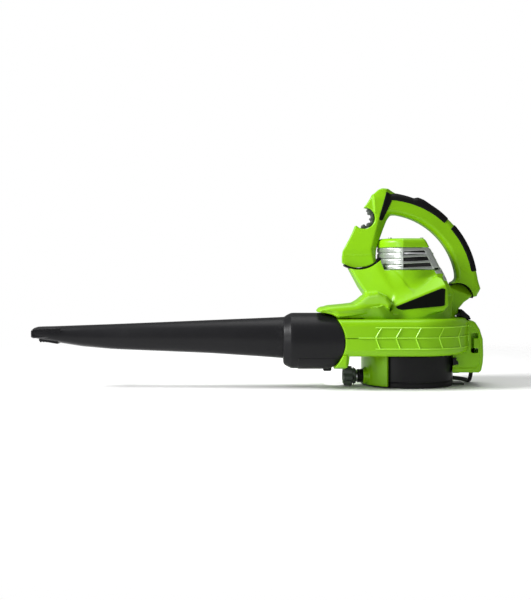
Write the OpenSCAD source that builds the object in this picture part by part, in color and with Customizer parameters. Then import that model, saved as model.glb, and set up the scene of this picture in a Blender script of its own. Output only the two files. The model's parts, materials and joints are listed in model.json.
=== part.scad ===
// Corded garden blower: a vertical fan motor in a scroll housing that stands on its inlet guard,
// with a loop handle above it and a blowing tube on the outlet.
// Origin: centre of the guard's stand face. +Z up, the nozzle points along -X.

/* [Fan housing] */
// Radius of the scroll where it starts, at the front
scroll_r = 104; // [98:1:116]
// Growth of the scroll in each quarter turn
scroll_step = 8; // [6:1:9]
// Height of the scroll from its floor to its roof
scroll_h = 70; // [66:1:84]
// Wall thickness of the moulded shells
wall = 3; // [2.4:0.1:3.6]
// Outside corner radius of the scroll
scroll_corner = 13; // [10:1:16]
// Radius of the air inlet in the scroll floor
inlet_r = 58; // [50:1:62]
// Radius of the impeller
impeller_r = 78; // [70:1:88]
// Number of impeller blades
blade_count = 12; // [8:1:16]

/* [Inlet guard] */
// Outside radius of the guard ring that the blower stands on
guard_r = 86; // [80:1:90]
// Height of the guard ring
guard_h = 62; // [50:1:74]
// Gap between the guard and the parts around it
guard_gap = 3.5; // [3:0.5:4]
// Radius of the clamp knob over its lobes
knob_r = 19.5; // [17:0.5:19.5]
// Radius of the clamp screw
screw_r = 4; // [3:0.5:5]

/* [Motor] */
// Radius of the motor housing
motor_r = 64; // [60:1:66]
// Height of the vented band
band_h = 44; // [36:1:52]
// Height of the green cap above the band
cap_h = 18; // [12:1:20]
// Radius of the motor shaft
shaft_r = 4; // [3:0.5:6]
// Radius of the armature
armature_r = 24; // [20:1:26]
// Air gap between armature and stator
air_gap = 0.6; // [0.4:0.1:1]

/* [Handle] */
// Mean radius of the loop
loop_r = 164; // [158:1:170]
// Thickness of the loop, seen from the side
grip_t = 40; // [36:1:44]
// Width of the handle
handle_w = 44; // [38:1:48]
// Depth of the soft grip skin
grip_skin = 3; // [2:0.5:4]
// Radius of the finger opening in front of the handle
bite_r = 21; // [19:1:22]
// Thickness of the seals between handle and body
gasket_t = 3; // [2:0.5:4]
// Radius of the trigger pivot pin
pivot_r = 2.5; // [2:0.5:3]

/* [Blowing tube] */
// Length of the collar
collar_l = 117; // [100:1:130]
// Outside radius of the collar
collar_r = 53.5; // [51:0.5:54]
// Wall of the collar
collar_wall = 3; // [2.5:0.5:3.5]
// Radial gap of the collar on the spigot
collar_gap = 0.4; // [0.3:0.1:0.6]
// Length of the round tapered tube, from the collar to the flat tip
tube_l = 373; // [320:1:440]
// Length of the flattened tip
tip_l = 106; // [90:1:120]
// Outside radius of the tube at the collar
tube_r = 39.5; // [37:0.5:42]
// Half height of the tube where it starts to flatten
tube_end_r = 24; // [22:0.5:28]
// Half height and half width of the mouth
mouth = [11, 38];

/* [Mains lead] */
// Diameter of the lead
cord_d = 8; // [7:0.5:9]
// Distance between the two plug pins
pin_pitch = 19; // [18:0.5:20]
// Radius of a plug pin
pin_r = 2.4; // [2:0.1:2.5]

/* [Clearances] */
// Radial running clearance of a shaft or pin in its hole
run_gap = 0.05; // [0.02:0.01:0.09]
// Free gap between parts that move past each other
free_gap = 0.5; // [0.4:0.1:0.8]

/* [Hidden] */
$fn = 64;

GREEN = "#7cc411";
BLACK = "#1b1c1c";
SILVER = "#a3aba5";
STEEL = "#9a9da0";
COPPER = "#b5652c";
BRASS = "#b08d3c";

// Heights of the main stack
scroll_z0 = guard_h + 2.5;
scroll_z1 = scroll_z0 + scroll_h;
split_z = scroll_z0 + scroll_h / 2;
band_z0 = scroll_z1 + 93.5;
band_z1 = band_z0 + band_h;
cap_z1 = band_z1 + cap_h;
body_lift = scroll_z1 - 134.5;

// Scroll: three quarter turns whose centres step round a small square
sc = scroll_step / 2;
scroll_r2 = scroll_r + scroll_step;
scroll_r3 = scroll_r + 2 * scroll_step;
scroll_front_y = -(sc + scroll_r3);
duct_half = 54;
duct_y = scroll_front_y + duct_half;
duct_x = -128;

// Tube and outlet, on an axis along X
tube_z = split_z - 7.5;
collar_x1 = duct_x - 8;
collar_x0 = collar_x1 - collar_l;
tube_x0 = collar_x0 - tube_l;
tip_x0 = tube_x0 - tip_l;
tube_lift = 5.5;
tip_lift = 14;
spigot_l = 60;
collar_ri = collar_r - collar_wall;
spigot_r = collar_ri - collar_gap;
hood_r = collar_r + 1.5;

// Guard, skirt and clamp
skirt_ri = guard_r + guard_gap;
skirt_ro = skirt_ri + 6;
skirt_half_angle = 56;
knob_y = -30;
knob_z = 20;
boss_x = -skirt_ro;
neck_l = 11;
neck_r = 14;
washer_t = 2;
knob_l = 26;
nut_r = 7;

// Motor stack
plate_t = 5;
plate_z1 = scroll_z1 + plate_t;
stator_z0 = band_z0 - 53;
stator_z1 = stator_z0 + 48;
stator_ro = 44;
motor_ri = motor_r - wall;
flat_half = 52;
badge_y = 87;
comm_z0 = band_z0 + 4;
comm_r = 13;
brush_z = comm_z0 + 8;
brush_plate_z = comm_z0 + 15;
bracket_z = brush_plate_z + 15;
bearing_t = 7;
bearing_r = 11;
lower_bearing_z = plate_z1 + 1;

// Handle, in the side view
loop_c = [-50, 195 + body_lift];
bite_c = [-91, 331 + body_lift];
front_seal_c = [-103, 285 + body_lift];
front_seal_r = 53;
rear_seal_c = [94.5, 172.5 + body_lift];
knuckle_r = 27;
cover_half = 44;
pivot_c = [-63, 370 + body_lift];
trigger_half = 13;
loop_ri = loop_r - grip_t / 2;
loop_ro = loop_r + grip_t / 2;
handle_half = handle_w / 2;
cavity_half = trigger_half + 1.5;

gland_x = 124.5;
gland_z = 76;
gland_r = 7.5;

// Route of the lead: out of the gland, down to the floor and round behind the guard
cord_r = cord_d / 2;
cord_route = [
    [124.5, 0, 74], [124.5, 0, 62], [124.5, 0, 50], [124.5, 0, 38], [124.5, 1.2, 29],
    [124.5, 4.6, 21], [124.5, 10, 14], [124.5, 17, 8.6], [124.4, 25, 5.2], [124, 34, 4.2],
    [122.5, 46, 4.2], [118.5, 59, 4.2], [111.5, 72, 4.2], [101.5, 84, 4.2],
    [89, 94, 4.2], [75, 101.5, 4.2], [60, 107, 4.2], [45, 111, 4.2], [30, 114, 4.6],
    [16, 116.8, 5.8], [4, 118, 8], [-8, 118, 8]
];
plug_c = [-8, 118, 8];
plug_l = 40;

// ---- shared shapes ------------------------------------------------------------------------

// A drawing in X and Z, given a thickness along Y from y0 to y1
module slab(y0, y1) {
    translate([0, y1, 0]) rotate([90, 0, 0]) linear_extrude(y1 - y0) children();
}

// Turns a solid made along Z so that it lies along X, at y and z
module along_x(x, y, z) {
    translate([x, y, z]) rotate([0, 90, 0]) children();
}

// Turns a solid made along Z so that it lies along Y
module along_y(x, y, z) {
    translate([x, y, z]) rotate([-90, 0, 0]) children();
}

module tube(ro, ri, h) {
    difference() {
        cylinder(r = ro, h = h);
        translate([0, 0, -1]) cylinder(r = ri, h = h + 2);
    }
}

// Half section of a flat round box, with its lower and upper outside corners rounded
module box_section(r, z0, z1, c0, c1) {
    translate([0, z0 + c0]) square([r, z1 - z0 - c0 - c1]);
    if (c0 > 0) {
        translate([0, z0]) square([r - c0, c0 + 0.01]);
        intersection() {
            translate([r - c0, z0 + c0]) circle(c0);
            translate([0, z0]) square([r, c0]);
        }
    }
    if (c1 > 0) {
        translate([0, z1 - c1 - 0.01]) square([r - c1, c1 + 0.01]);
        intersection() {
            translate([r - c1, z1 - c1]) circle(c1);
            translate([0, z1 - c1]) square([r, c1]);
        }
    }
}

// Heights of the raised rails round the scroll
rail_h = 2.4;
rail_out = 1.2;
low_rails = [scroll_z0 + scroll_corner + 2];
high_rails = [split_z + 2, scroll_z1 - scroll_corner - 2];

// Section of the scroll with its rails
module rail_section(r, z0, z1, c0, c1, rails) {
    box_section(r, z0, z1, c0, c1);
    for (z = rails) translate([r - 2, z - rail_h / 2]) square([2 + rail_out, rail_h]);
}

// The scroll with its outlet duct; inset moves the side walls in
module scroll(inset, z0, z1, c0, c1, x_end, rails = []) {
    translate([sc, sc, 0]) rotate([0, 0, 90]) rotate_extrude(angle = 180)
        rail_section(scroll_r - inset, z0, z1, c0, c1, rails);
    translate([sc, -sc, 0]) rotate_extrude(angle = 90)
        rail_section(scroll_r2 - inset, z0, z1, c0, c1, rails);
    translate([-sc, -sc, 0]) rotate([0, 0, -90]) rotate_extrude(angle = 90)
        rail_section(scroll_r3 - inset, z0, z1, c0, c1, rails);
    translate([-sc - 1, -sc - 1, z0]) cube([2 * sc + 2, 2 * sc + 2, z1 - z0]);
    translate([x_end, duct_y, 0]) rotate([90, 0, 90]) linear_extrude(-sc - x_end)
        union() {
            rail_section(duct_half - inset, z0, z1, c0, c1, rails);
            mirror([1, 0]) rail_section(duct_half - inset, z0, z1, c0, c1, rails);
        }
}

// Section of the motor housing seen from above: round in front, flat sided behind
module motor_plan(inset) {
    circle(motor_r - inset);
    translate([0, -(flat_half - inset)]) square([76 - inset, 2 * (flat_half - inset)]);
}

// Side view of the sloping back of the motor housing; inset moves the slope in
module back_slope(inset, z0, z1) {
    slab(-90, 90) polygon([
        [-110, z0], [-110, z1], [30 - inset + (288 + body_lift - z1) * 0.52, z1],
        [30 - inset + (288 + body_lift - z0) * 0.52, z0]
    ]);
}

module motor_block(inset, z0, z1) {
    intersection() {
        translate([0, 0, z0]) linear_extrude(z1 - z0) motor_plan(inset);
        back_slope(inset, z0, z1);
    }
}

// Rounded section of the loop, radial by wide
module grip_section(inset) {
    corner = 12 - inset;
    r0 = loop_ri + inset;
    r1 = loop_ro - inset;
    half = handle_half - inset - 2;
    translate([r0, -half + corner]) square([r1 - r0, 2 * (half - corner)]);
    translate([r0 + corner, -half]) square([r1 - r0 - 2 * corner, 2 * half]);
    for (r = [r0 + corner, r1 - corner], y = [-half + corner, half - corner])
        translate([r, y]) circle(corner);
}

// A stretch of the loop between two angles, measured from the rear towards the top
module loop_arc(a0, a1) {
    translate([loop_c.x, 0, loop_c.y]) rotate([90, 0, 0]) rotate([0, 0, a0])
        rotate_extrude(angle = a1 - a0) children();
}

// ---- fan housing --------------------------------------------------------------------------

module fan_housing_lower() {
    color(GREEN) difference() {
        union() {
            scroll(0, scroll_z0, split_z, scroll_corner, 0, duct_x, low_rails);
            lugs(split_z - 12, split_z);
        }
        scroll(wall, scroll_z0 + wall, split_z + 1, scroll_corner - wall, 0, duct_x - 1);
        translate([0, 0, scroll_z0 - 1]) cylinder(r = inlet_r, h = wall + 2);
        screw_holes(scroll_z0 - 1, split_z + 1);
    }
}

module fan_housing_upper() {
    color(GREEN) difference() {
        union() {
            scroll(0, split_z, scroll_z1, 0, scroll_corner, duct_x, high_rails);
            lugs(split_z, split_z + 12);
        }
        scroll(wall, split_z - 1, scroll_z1 - wall, 0, scroll_corner - wall, duct_x - 1);
        translate([0, 0, scroll_z1 - wall - 1]) cylinder(r = 46, h = wall + 2);
        screw_holes(split_z - 1, scroll_z1 + 1);
    }
}

// Places of the screws that close the scroll, in lugs outside its wall
screw_angles = [42, 62, 84];
module at_screws() {
    for (a = screw_angles) rotate([0, 0, a]) translate([scroll_r + 13, 0, 0]) children();
}

module lugs(z0, z1) {
    difference() {
        at_screws() translate([0, 0, z0]) cylinder(r = 9.5, h = z1 - z0);
        scroll(1, z0 - 1, z1 + 1, 0, 0, duct_x);
    }
}

module screw_holes(z0, z1) {
    at_screws() translate([0, 0, z0]) cylinder(r = 2, h = z1 - z0);
}

module housing_screws() {
    color(STEEL) at_screws() {
        translate([0, 0, split_z - 12]) cylinder(r = 2, h = 24);
        translate([0, 0, split_z - 14]) cylinder(r = 3.6, h = 2);
    }
}

// ---- body above the fan -------------------------------------------------------------------

front_arm = [
    [-130, 250], [-116, 222], [-102, 198], [-90, 180], [-70, 160], [-20, 160], [-12, 190],
    [-42, 226], [-58, 245], [-58, 262]
];
rear_arm = [
    [40, 150], [95, 150], [98, 158], [106, 166], [116, 174], [94.5, 172.5], [82, 196.5], [72, 205], [40, 205]
];
function lifted(points) = [for (p = points) [p.x, p.y + body_lift]];

// The round body from the fan up to the band; over makes it longer at both ends
module body_flare(inset, over = 0) {
    rotate_extrude() polygon([
        [0, scroll_z1 - over], [92 - inset, scroll_z1 - over], [86 - inset, scroll_z1 + 14],
        [80 - inset, scroll_z1 + 30], [72 - inset, scroll_z1 + 50],
        [motor_r - inset, scroll_z1 + 72], [motor_r - inset, band_z0 + over],
        [0, band_z0 + over]
    ]);
}

module badge_outline() {
    polygon(lifted([[-34, 156], [-26, 151], [49, 158], [56, 193]]));
}

module motor_housing() {
    color(GREEN) difference() {
        union() {
            body_flare(0);
            motor_block(0, band_z0 - 40, band_z0);
            difference() {
                slab(-24, 24) polygon(lifted(front_arm));
                along_y(front_seal_c.x, -30, front_seal_c.y)
                    cylinder(r = front_seal_r + gasket_t, h = 60);
            }
            slab(-21, 21) polygon(lifted(rear_arm));
            along_y(rear_seal_c.x, -21, rear_seal_c.y) cylinder(r = knuckle_r, h = 42);
            slab(-badge_y, badge_y) badge_outline();
        }
        body_flare(wall, 1);
        motor_block(0, band_z0, 500);
        motor_block(wall, band_z0 - 37, band_z0 + 1);
        slab(-14, 14) polygon(lifted([[-112, 236], [-84, 178], [-30, 178], [-30, 226], [-64, 240]]));
        slab(-14, 14) polygon(lifted([[50, 160], [88, 160], [96, 180], [90, 190], [50, 196]]));
    }
}

module badge_panels() {
    color(BLACK) {
        slab(-badge_y - 2, -badge_y) badge_outline();
        slab(badge_y, badge_y + 2) badge_outline();
    }
}

module motor_band() {
    color(SILVER) difference() {
        motor_block(0, band_z0, band_z1);
        motor_block(wall, band_z0 - 1, band_z1 + 1);
        for (i = [0 : 2]) slab(-80, 80)
            polygon([
                [-14, band_z1 - 9 - 11 * i], [26 + 4 * i, band_z1 - 7 - 11 * i],
                [26 + 4 * i, band_z1 - 12 - 11 * i], [-14, band_z1 - 14 - 11 * i]
            ]);
    }
}

module motor_cap() {
    color(GREEN) difference() {
        union() {
            motor_block(1, band_z1, band_z1 + 8);
            motor_block(7, band_z1 + 8, cap_z1);
        }
        motor_block(7 + wall, band_z1 - 1, cap_z1 - wall);
        at_cap_screws() cylinder(r = 2, h = 60);
    }
}

module at_cap_screws() {
    for (x = [-42, 20], y = [-34, 34]) translate([x, y, band_z1 - 6]) children();
}

module cap_screws() {
    color(STEEL) at_cap_screws() {
        cylinder(r = 2, h = cap_z1 - band_z1 + 6);
        translate([0, 0, cap_z1 - band_z1 + 6]) cylinder(r = 3.4, h = 1.6);
    }
}

// ---- outlet -------------------------------------------------------------------------------

// The rear of the collar is hollowed to a round line, seen from the side
notch_r = 66;
notch_x = collar_x1 - notch_r - 1;
module notch(gap) {
    along_y(notch_x, duct_y - 80, tube_z) rotate([0, 0, 25])
        cylinder(r = notch_r + gap, h = 160);
}

module outlet_socket() {
    color(GREEN) difference() {
        union() {
            along_x(duct_x - spigot_l, duct_y, tube_z) cylinder(r = spigot_r, h = spigot_l);
            difference() {
                along_x(duct_x - 26, duct_y, tube_z) cylinder(r = collar_r, h = 26);
                notch(1);
            }
        }
        along_x(duct_x - spigot_l - 1, duct_y, tube_z)
            cylinder(r = spigot_r - wall, h = spigot_l - 7);
        translate([duct_x - 9, duct_y, 0]) rotate([90, 0, 90]) linear_extrude(10)
            intersection() {
                translate([0, tube_z]) circle(spigot_r - wall);
                translate([-duct_half + wall, scroll_z0 + wall])
                    square([2 * (duct_half - wall), scroll_h - 2 * wall]);
            }
        latch_slot(free_gap);
        along_x(duct_x - 27, duct_y, tube_z) tube(collar_r + 1, spigot_r + 0.01, 27 - 5);
    }
}

module outlet_hood() {
    color(GREEN) difference() {
        along_x(duct_x - 56, duct_y, tube_z) cylinder(r = hood_r + 9, h = 70);
        along_x(duct_x - 57, duct_y, tube_z) cylinder(r = hood_r, h = 72);
        translate([-400, -300, -100]) cube([600, 600, tube_z + 100 + 30]);
        scroll(-rail_out, split_z, scroll_z1, 0, 0, duct_x - 5);
        body_flare(0);
        slab(-24, 24) polygon(lifted(front_arm));
    }
}

// ---- guard, skirt and clamp ---------------------------------------------------------------

// A wedge about the Z axis, centred on the front, for sleeves that don't go all round
module front_wedge(half_angle, r, z0, z1) {
    translate([0, 0, z0]) linear_extrude(z1 - z0) polygon([
        [0, 0], [-r * cos(half_angle), -r * sin(half_angle)],
        [-1.5 * r, -r * sin(half_angle)], [-1.5 * r, r * sin(half_angle)],
        [-r * cos(half_angle), r * sin(half_angle)]
    ]);
}

module inlet_skirt() {
    color(GREEN) difference() {
        union() {
            intersection() {
                translate([0, 0, 3]) cylinder(r = skirt_ro, h = scroll_z0 - 3);
                front_wedge(skirt_half_angle, 2 * skirt_ro, 3, scroll_z0);
            }
            along_x(boss_x, knob_y, knob_z) cylinder(r = 16, h = 14);
        }
        translate([0, 0, -1]) cylinder(r = skirt_ri, h = scroll_z0 + 2);
        along_x(boss_x - 1, knob_y, knob_z) cylinder(r = nut_r, h = 40);
    }
}

module knob_nut() {
    color(BRASS) difference() {
        along_x(boss_x, knob_y, knob_z) tube(nut_r, screw_r + run_gap, 10);
        translate([0, 0, -1]) cylinder(r = skirt_ri, h = 80);
    }
}

module knob_neck() {
    color(BLACK) along_x(boss_x - neck_l, knob_y, knob_z) difference() {
        union() {
            cylinder(r = neck_r - 1.5, h = neck_l);
            for (i = [0 : 2]) translate([0, 0, 1 + 3.6 * i]) cylinder(r = neck_r, h = 1.8);
        }
        translate([0, 0, -1]) cylinder(r = screw_r + free_gap, h = neck_l + 2);
    }
}

module knob_washer() {
    color(STEEL) along_x(boss_x - neck_l - free_gap - washer_t, knob_y, knob_z)
        tube(12, screw_r + free_gap, washer_t);
}

knob_x1 = boss_x - neck_l - washer_t - 2 * free_gap;
module clamp_knob() {
    color(SILVER) along_x(knob_x1 - knob_l, knob_y, knob_z) difference() {
        linear_extrude(knob_l) union() {
            circle(knob_r - 4.7);
            for (a = [10 : 60 : 310]) rotate(a) translate([knob_r - 6, 0]) circle(6);
        }
        translate([0, 0, 5]) cylinder(r = screw_r, h = knob_l);
    }
}

module clamp_screw() {
    tip_x = -sqrt(guard_r * guard_r - (abs(knob_y) - screw_r) * (abs(knob_y) - screw_r)) - 1;
    color(STEEL) along_x(knob_x1 - knob_l + 5, knob_y, knob_z)
        cylinder(r = screw_r, h = tip_x - (knob_x1 - knob_l + 5));
}

module guard_ring() {
    color(BLACK) difference() {
        cylinder(r = guard_r, h = guard_h);
        translate([0, 0, 5]) cylinder(r = guard_r - wall, h = guard_h);
        difference() {
            translate([0, 0, -1]) cylinder(r = guard_r - 14, h = 8);
            translate([0, 0, -2]) cylinder(r = 16, h = 10);
            for (r = [28 : 12 : 64]) translate([0, 0, -2]) tube(r + 3, r, 10);
            for (a = [0 : 45 : 135]) rotate([0, 0, a])
                translate([-guard_r, -2, -2]) cube([2 * guard_r, 4, 10]);
        }
    }
}

module guard_foot() {
    color(SILVER) difference() {
        translate([guard_r - 2, -15, 0]) cube([24, 30, 4]);
        translate([0, 0, -1]) cylinder(r = guard_r, h = 8);
    }
}

module guard_catch() {
    color(BLACK) difference() {
        translate([78, -54, 42]) cube([11, 10, 15]);
        translate([0, 0, 30]) cylinder(r = skirt_ri - 1, h = 50);
    }
}

// ---- rear cover ---------------------------------------------------------------------------

module rear_cover() {
    color(GREEN) difference() {
        slab(-cover_half, cover_half) polygon([
            [76, 26], [132, 26], [138, 36], [140, 62], [139, 92], [130, 120], [121, 129],
            [76, 129]
        ]);
        translate([0, 0, 20]) cylinder(r = skirt_ri, h = scroll_z0 - 20);
        scroll(0, scroll_z0, scroll_z1, 0, 0, duct_x, concat(low_rails, high_rails));
        difference() {
            slab(-cover_half + wall, cover_half - wall) polygon([
                [92, 25], [129.5, 25], [134.5, 36], [136.5, 62], [135.5, 90], [126, 112], [92, 112]
            ]);
            translate([80, -14, gland_z]) cube([80, 28, 6]);
        }
        translate([gland_x, 0, gland_z - 1]) cylinder(r = gland_r, h = 8);
        for (side = [-1, 1]) cord_pocket(side);
    }
}

// Pocket for the extension lead, in each side of the cover
module cord_pocket(side) {
    slab(min(side * 28, side * 50), max(side * 28, side * 50)) difference() {
        translate([116, 66]) square([13, 38]);
        translate([121, 74]) square([9, 20]);
    }
}

module strap_eye() {
    color(BLACK) difference() {
        slab(-9, 9) polygon([[94, 150], [104, 150], [120, 136], [121, 129], [100, 129]]);
        body_flare(0);
        along_y(rear_seal_c.x, -30, rear_seal_c.y) cylinder(r = knuckle_r, h = 60);
        slab(-30, 30) polygon(lifted(rear_arm));
        scroll(0, scroll_z0, scroll_z1, 0, 0, duct_x);
        along_y(106, -20, 140) cylinder(r = 3.5, h = 40);
    }
}

// ---- handle -------------------------------------------------------------------------------

column = [
    [-134, 254], [-132, 266], [-118, 292], [-108, 318], [-89, 353], [-78, 370], [-68, 382],
    [-58, 390], [-42, 389], [-28, 381], [-20, 350], [-38, 336], [-60, 288], [-68, 276],
    [-68.5, 252], [-68.5, 236], [-134, 230]
];
column_core = [
    [-122, 262], [-108, 290], [-100, 308], [-91, 331], [-83, 350], [-72, 364], [-70, 377],
    [-54, 383], [-40, 378], [-46, 344], [-70, 286], [-76, 262], [-96, 250]
];
heel = [[82, 190], [83, 203], [94, 212], [96, 230], [129, 226], [134, 208], [140, 191], [122, 172]];

module handle_outer() {
    loop_arc(-6, 92) grip_section(0);
    slab(-handle_half, handle_half) polygon(lifted(heel));
    difference() {
        slab(-handle_half, handle_half) polygon(lifted(column));
        along_y(bite_c.x, -60, bite_c.y) cylinder(r = bite_r, h = 120);
    }
}

module seal_trim() {
    along_y(rear_seal_c.x, -60, rear_seal_c.y) cylinder(r = knuckle_r + gasket_t, h = 120);
}

module handle_body() {
    difference() {
        handle_outer();
        seal_trim();
        difference() {
            slab(-60, 60) polygon(lifted([[-160, 200], [-160, 262], [-40, 262], [-40, 200]]));
            along_y(front_seal_c.x, -60, front_seal_c.y) cylinder(r = front_seal_r, h = 120);
        }
        loop_arc(0, 86) grip_section(4);
        slab(-cavity_half, cavity_half) polygon(lifted(column_core));
        along_y(pivot_c.x, -19, pivot_c.y) cylinder(r = pivot_r, h = 38);
        loop_arc(22, 84) grip_skin_section(0);
        handle_screw_holes();
    }
}

// Soft skin over the outside of the loop
module grip_skin_section(inset) {
    difference() {
        translate([loop_r + 4, -60]) square([60, 120]);
        grip_section(grip_skin);
    }
}

module handle_half_shell(side) {
    color(GREEN) intersection() {
        handle_body();
        translate([-300, side > 0 ? 0 : -200, 0]) cube([600, 200, 600]);
    }
}

module skin(a0, a1) {
    color(BLACK) loop_arc(a0, a1) intersection() {
        grip_skin_section(0);
        grip_section(0);
    }
}

module grip_front() {
    color(BLACK) for (y = [-handle_half - 1, handle_half]) slab(y, y + 1)
        polygon(lifted([[-62, 330], [-60, 326], [-56, 325], [-53, 327], [-37, 362], [-45, 381]]));
}

module at_handle_screws() {
    for (p = lifted([[-112, 270], [-48, 366], [92, 212]])) along_y(p.x, 0, p.y) children();
    for (a = [20, 50]) along_y(
        loop_c.x + (loop_r - 18) * cos(a), 0, loop_c.y + (loop_r - 18) * sin(a)
    ) children();
}

module handle_screw_holes() {
    at_handle_screws() translate([0, 0, -40]) cylinder(r = 1.8, h = 80);
}

module handle_screws() {
    color(STEEL) at_handle_screws() translate([0, 0, -18]) cylinder(r = 1.8, h = 36);
}

module gasket_front() {
    color(BLACK) intersection() {
        along_y(front_seal_c.x, -23, front_seal_c.y)
            tube(front_seal_r + gasket_t, front_seal_r, 46);
        slab(-30, 30) polygon(lifted([[-128, 262], [-128, 210], [-66, 210], [-66, 262]]));
    }
}

module gasket_rear() {
    color(BLACK) intersection() {
        along_y(rear_seal_c.x, -20, rear_seal_c.y) tube(knuckle_r + gasket_t, knuckle_r, 40);
        slab(-30, 30) polygon(lifted([[82, 190], [82, 220], [130, 220], [130, 174], [110, 174]]));
    }
}

// ---- trigger and switch -------------------------------------------------------------------

module trigger() {
    color(SILVER) difference() {
        slab(-trigger_half, trigger_half) union() {
            intersection() {
                translate(bite_c) difference() {
                    circle(bite_r - free_gap);
                    circle(bite_r - 5.5);
                }
                translate(bite_c) polygon([[0, 0], [-8, -60], [60, -60], [60, 60], [12, 60]]);
            }
            polygon(lifted([[-80, 346], [-72, 336], [-59, 366], [-66, 373]]));
            translate(pivot_c) circle(4.8);
            polygon(lifted([[-74, 326], [-74, 338], [-62, 330], [-66, 322]]));
        }
        along_y(pivot_c.x, -40, pivot_c.y) cylinder(r = pivot_r + run_gap, h = 80);
        along_y(pivot_c.x, 6, pivot_c.y) cylinder(r = 6.5, h = 10);
    }
}

module trigger_pin() {
    color(STEEL) along_y(pivot_c.x, -19, pivot_c.y) cylinder(r = pivot_r, h = 38);
}

module trigger_spring() {
    color(STEEL) for (i = [0 : 4])
        along_y(pivot_c.x, 7.6 + 1.3 * i, pivot_c.y) rotate_extrude()
            translate([pivot_r + 0.6, 0]) circle(0.6);
}

module power_switch() {
    color(BLACK) difference() {
        slab(-cavity_half, cavity_half)
            polygon(lifted([[-104, 272], [-82, 272], [-72, 294], [-94, 294]]));
        handle_screw_holes();
    }
}

// ---- outlet latch -------------------------------------------------------------------------

latch_x = -168;
module latch_slot(gap) {
    translate([latch_x - 8 - gap, duct_y - 6 - gap, tube_z - spigot_r - 8])
        cube([16 + 2 * gap, 12 + 2 * gap, 14]);
}

module tube_latch() {
    color(BLACK) difference() {
        translate([latch_x - 8, duct_y - 6, tube_z - collar_r - 4]) cube([16, 12, 12]);
        translate([latch_x - 5, duct_y - 4, tube_z - collar_r + 4]) cube([10, 8, 6]);
    }
}

// ---- motor --------------------------------------------------------------------------------

module motor_plate() {
    color(STEEL) difference() {
        union() {
            translate([0, 0, scroll_z1]) cylinder(r = 56, h = plate_t);
            translate([0, 0, plate_z1]) cylinder(r = bearing_r + 4, h = bearing_t + 1);
        }
        translate([0, 0, scroll_z1 - 1]) cylinder(r = shaft_r + 2, h = 30);
        translate([0, 0, lower_bearing_z]) cylinder(r = bearing_r, h = 30);
    }
}

module bearing() {
    tube(bearing_r, shaft_r + run_gap, bearing_t);
}

module lower_bearing() {
    color(STEEL) translate([0, 0, lower_bearing_z]) bearing();
}

module upper_bearing() {
    color(STEEL) translate([0, 0, bracket_z - bearing_t]) bearing();
}

module stator() {
    color(STEEL) translate([0, 0, stator_z0]) tube(stator_ro, armature_r + air_gap, 48);
}

module stator_cradle() {
    color(BLACK) translate([0, 0, band_z0 - 16]) difference() {
        tube(motor_ri, stator_ro, 8);
        for (a = [30 : 60 : 330]) rotate([0, 0, a]) translate([53, 0, -1]) cylinder(r = 5, h = 10);
    }
}

module field_coils() {
    color(COPPER) for (z = [stator_z0 - 8, stator_z1])
        translate([0, 0, z]) tube(stator_ro - 6, armature_r + 3, 8);
}

// A disc that fills the motor housing, its back cut to the slope
module motor_disc(z, h) {
    intersection() {
        translate([0, 0, z]) cylinder(r = motor_ri, h = h);
        motor_block(wall, z, z + h);
    }
}

module brush_plate() {
    color(BLACK) difference() {
        motor_disc(brush_plate_z, 3);
        translate([0, 0, brush_plate_z - 1]) cylinder(r = comm_r + 3, h = 5);
        for (a = [45 : 90 : 315]) rotate([0, 0, a]) translate([34, 0, brush_plate_z - 1])
            cylinder(r = 9, h = 5);
    }
}

module at_brushes() {
    for (a = [0, 180]) rotate([0, 0, a]) translate([0, 0, brush_z]) children();
}

module brush_holders() {
    color(BRASS) at_brushes() difference() {
        translate([16, -6, -7]) cube([26, 12, 14]);
        translate([15, -4, -5]) cube([25, 8, 10]);
    }
}

module brushes() {
    color("#3a3a3a") difference() {
        at_brushes() translate([10, -4, -5]) cube([21, 8, 10]);
        cylinder(r = comm_r + free_gap, h = 500);
    }
}

module brush_springs() {
    color(STEEL) at_brushes() translate([31, 0, 0]) rotate([0, 90, 0]) tube(3.2, 2.2, 9);
}

module upper_bracket() {
    color(STEEL) difference() {
        union() {
            motor_disc(bracket_z - 3, 3);
            translate([0, 0, bracket_z - bearing_t]) cylinder(r = bearing_r + 3, h = bearing_t);
        }
        translate([0, 0, bracket_z - bearing_t - 1]) cylinder(r = bearing_r, h = 20);
        for (a = [0 : 60 : 300]) rotate([0, 0, a]) translate([28, 0, bracket_z - 4])
            cylinder(r = 8, h = 6);
    }
}

module capacitor() {
    color("#c9b458") translate([-8, -54, brush_plate_z + 3]) cube([16, 12, 9]);
}

module lead_wires() {
    color(BLACK) for (y = [-4, 4]) loop_arc(3, 84) translate([loop_r - 14, y]) circle(2);
}

module motor_shaft() {
    color(STEEL) translate([0, 0, scroll_z0 + 4]) cylinder(r = shaft_r, h = bracket_z - scroll_z0);
}

module armature() {
    color(COPPER) translate([0, 0, stator_z0]) difference() {
        tube(armature_r, shaft_r, 48);
        for (a = [0 : 30 : 330]) rotate([0, 0, a]) translate([armature_r - 4, -1, -1])
            cube([6, 2, 50]);
    }
}

module commutator() {
    color(COPPER) translate([0, 0, comm_z0]) tube(comm_r, shaft_r, 16);
}

module cooling_fan() {
    color(BLACK) translate([0, 0, lower_bearing_z + bearing_t + 3]) difference() {
        union() {
            cylinder(r = 38, h = 2);
            cylinder(r = 10, h = 10);
            for (a = [0 : 36 : 324]) rotate([0, 0, a]) translate([12, -0.8, 0]) cube([25, 1.6, 10]);
        }
        translate([0, 0, -1]) cylinder(r = shaft_r, h = 12);
    }
}

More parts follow.
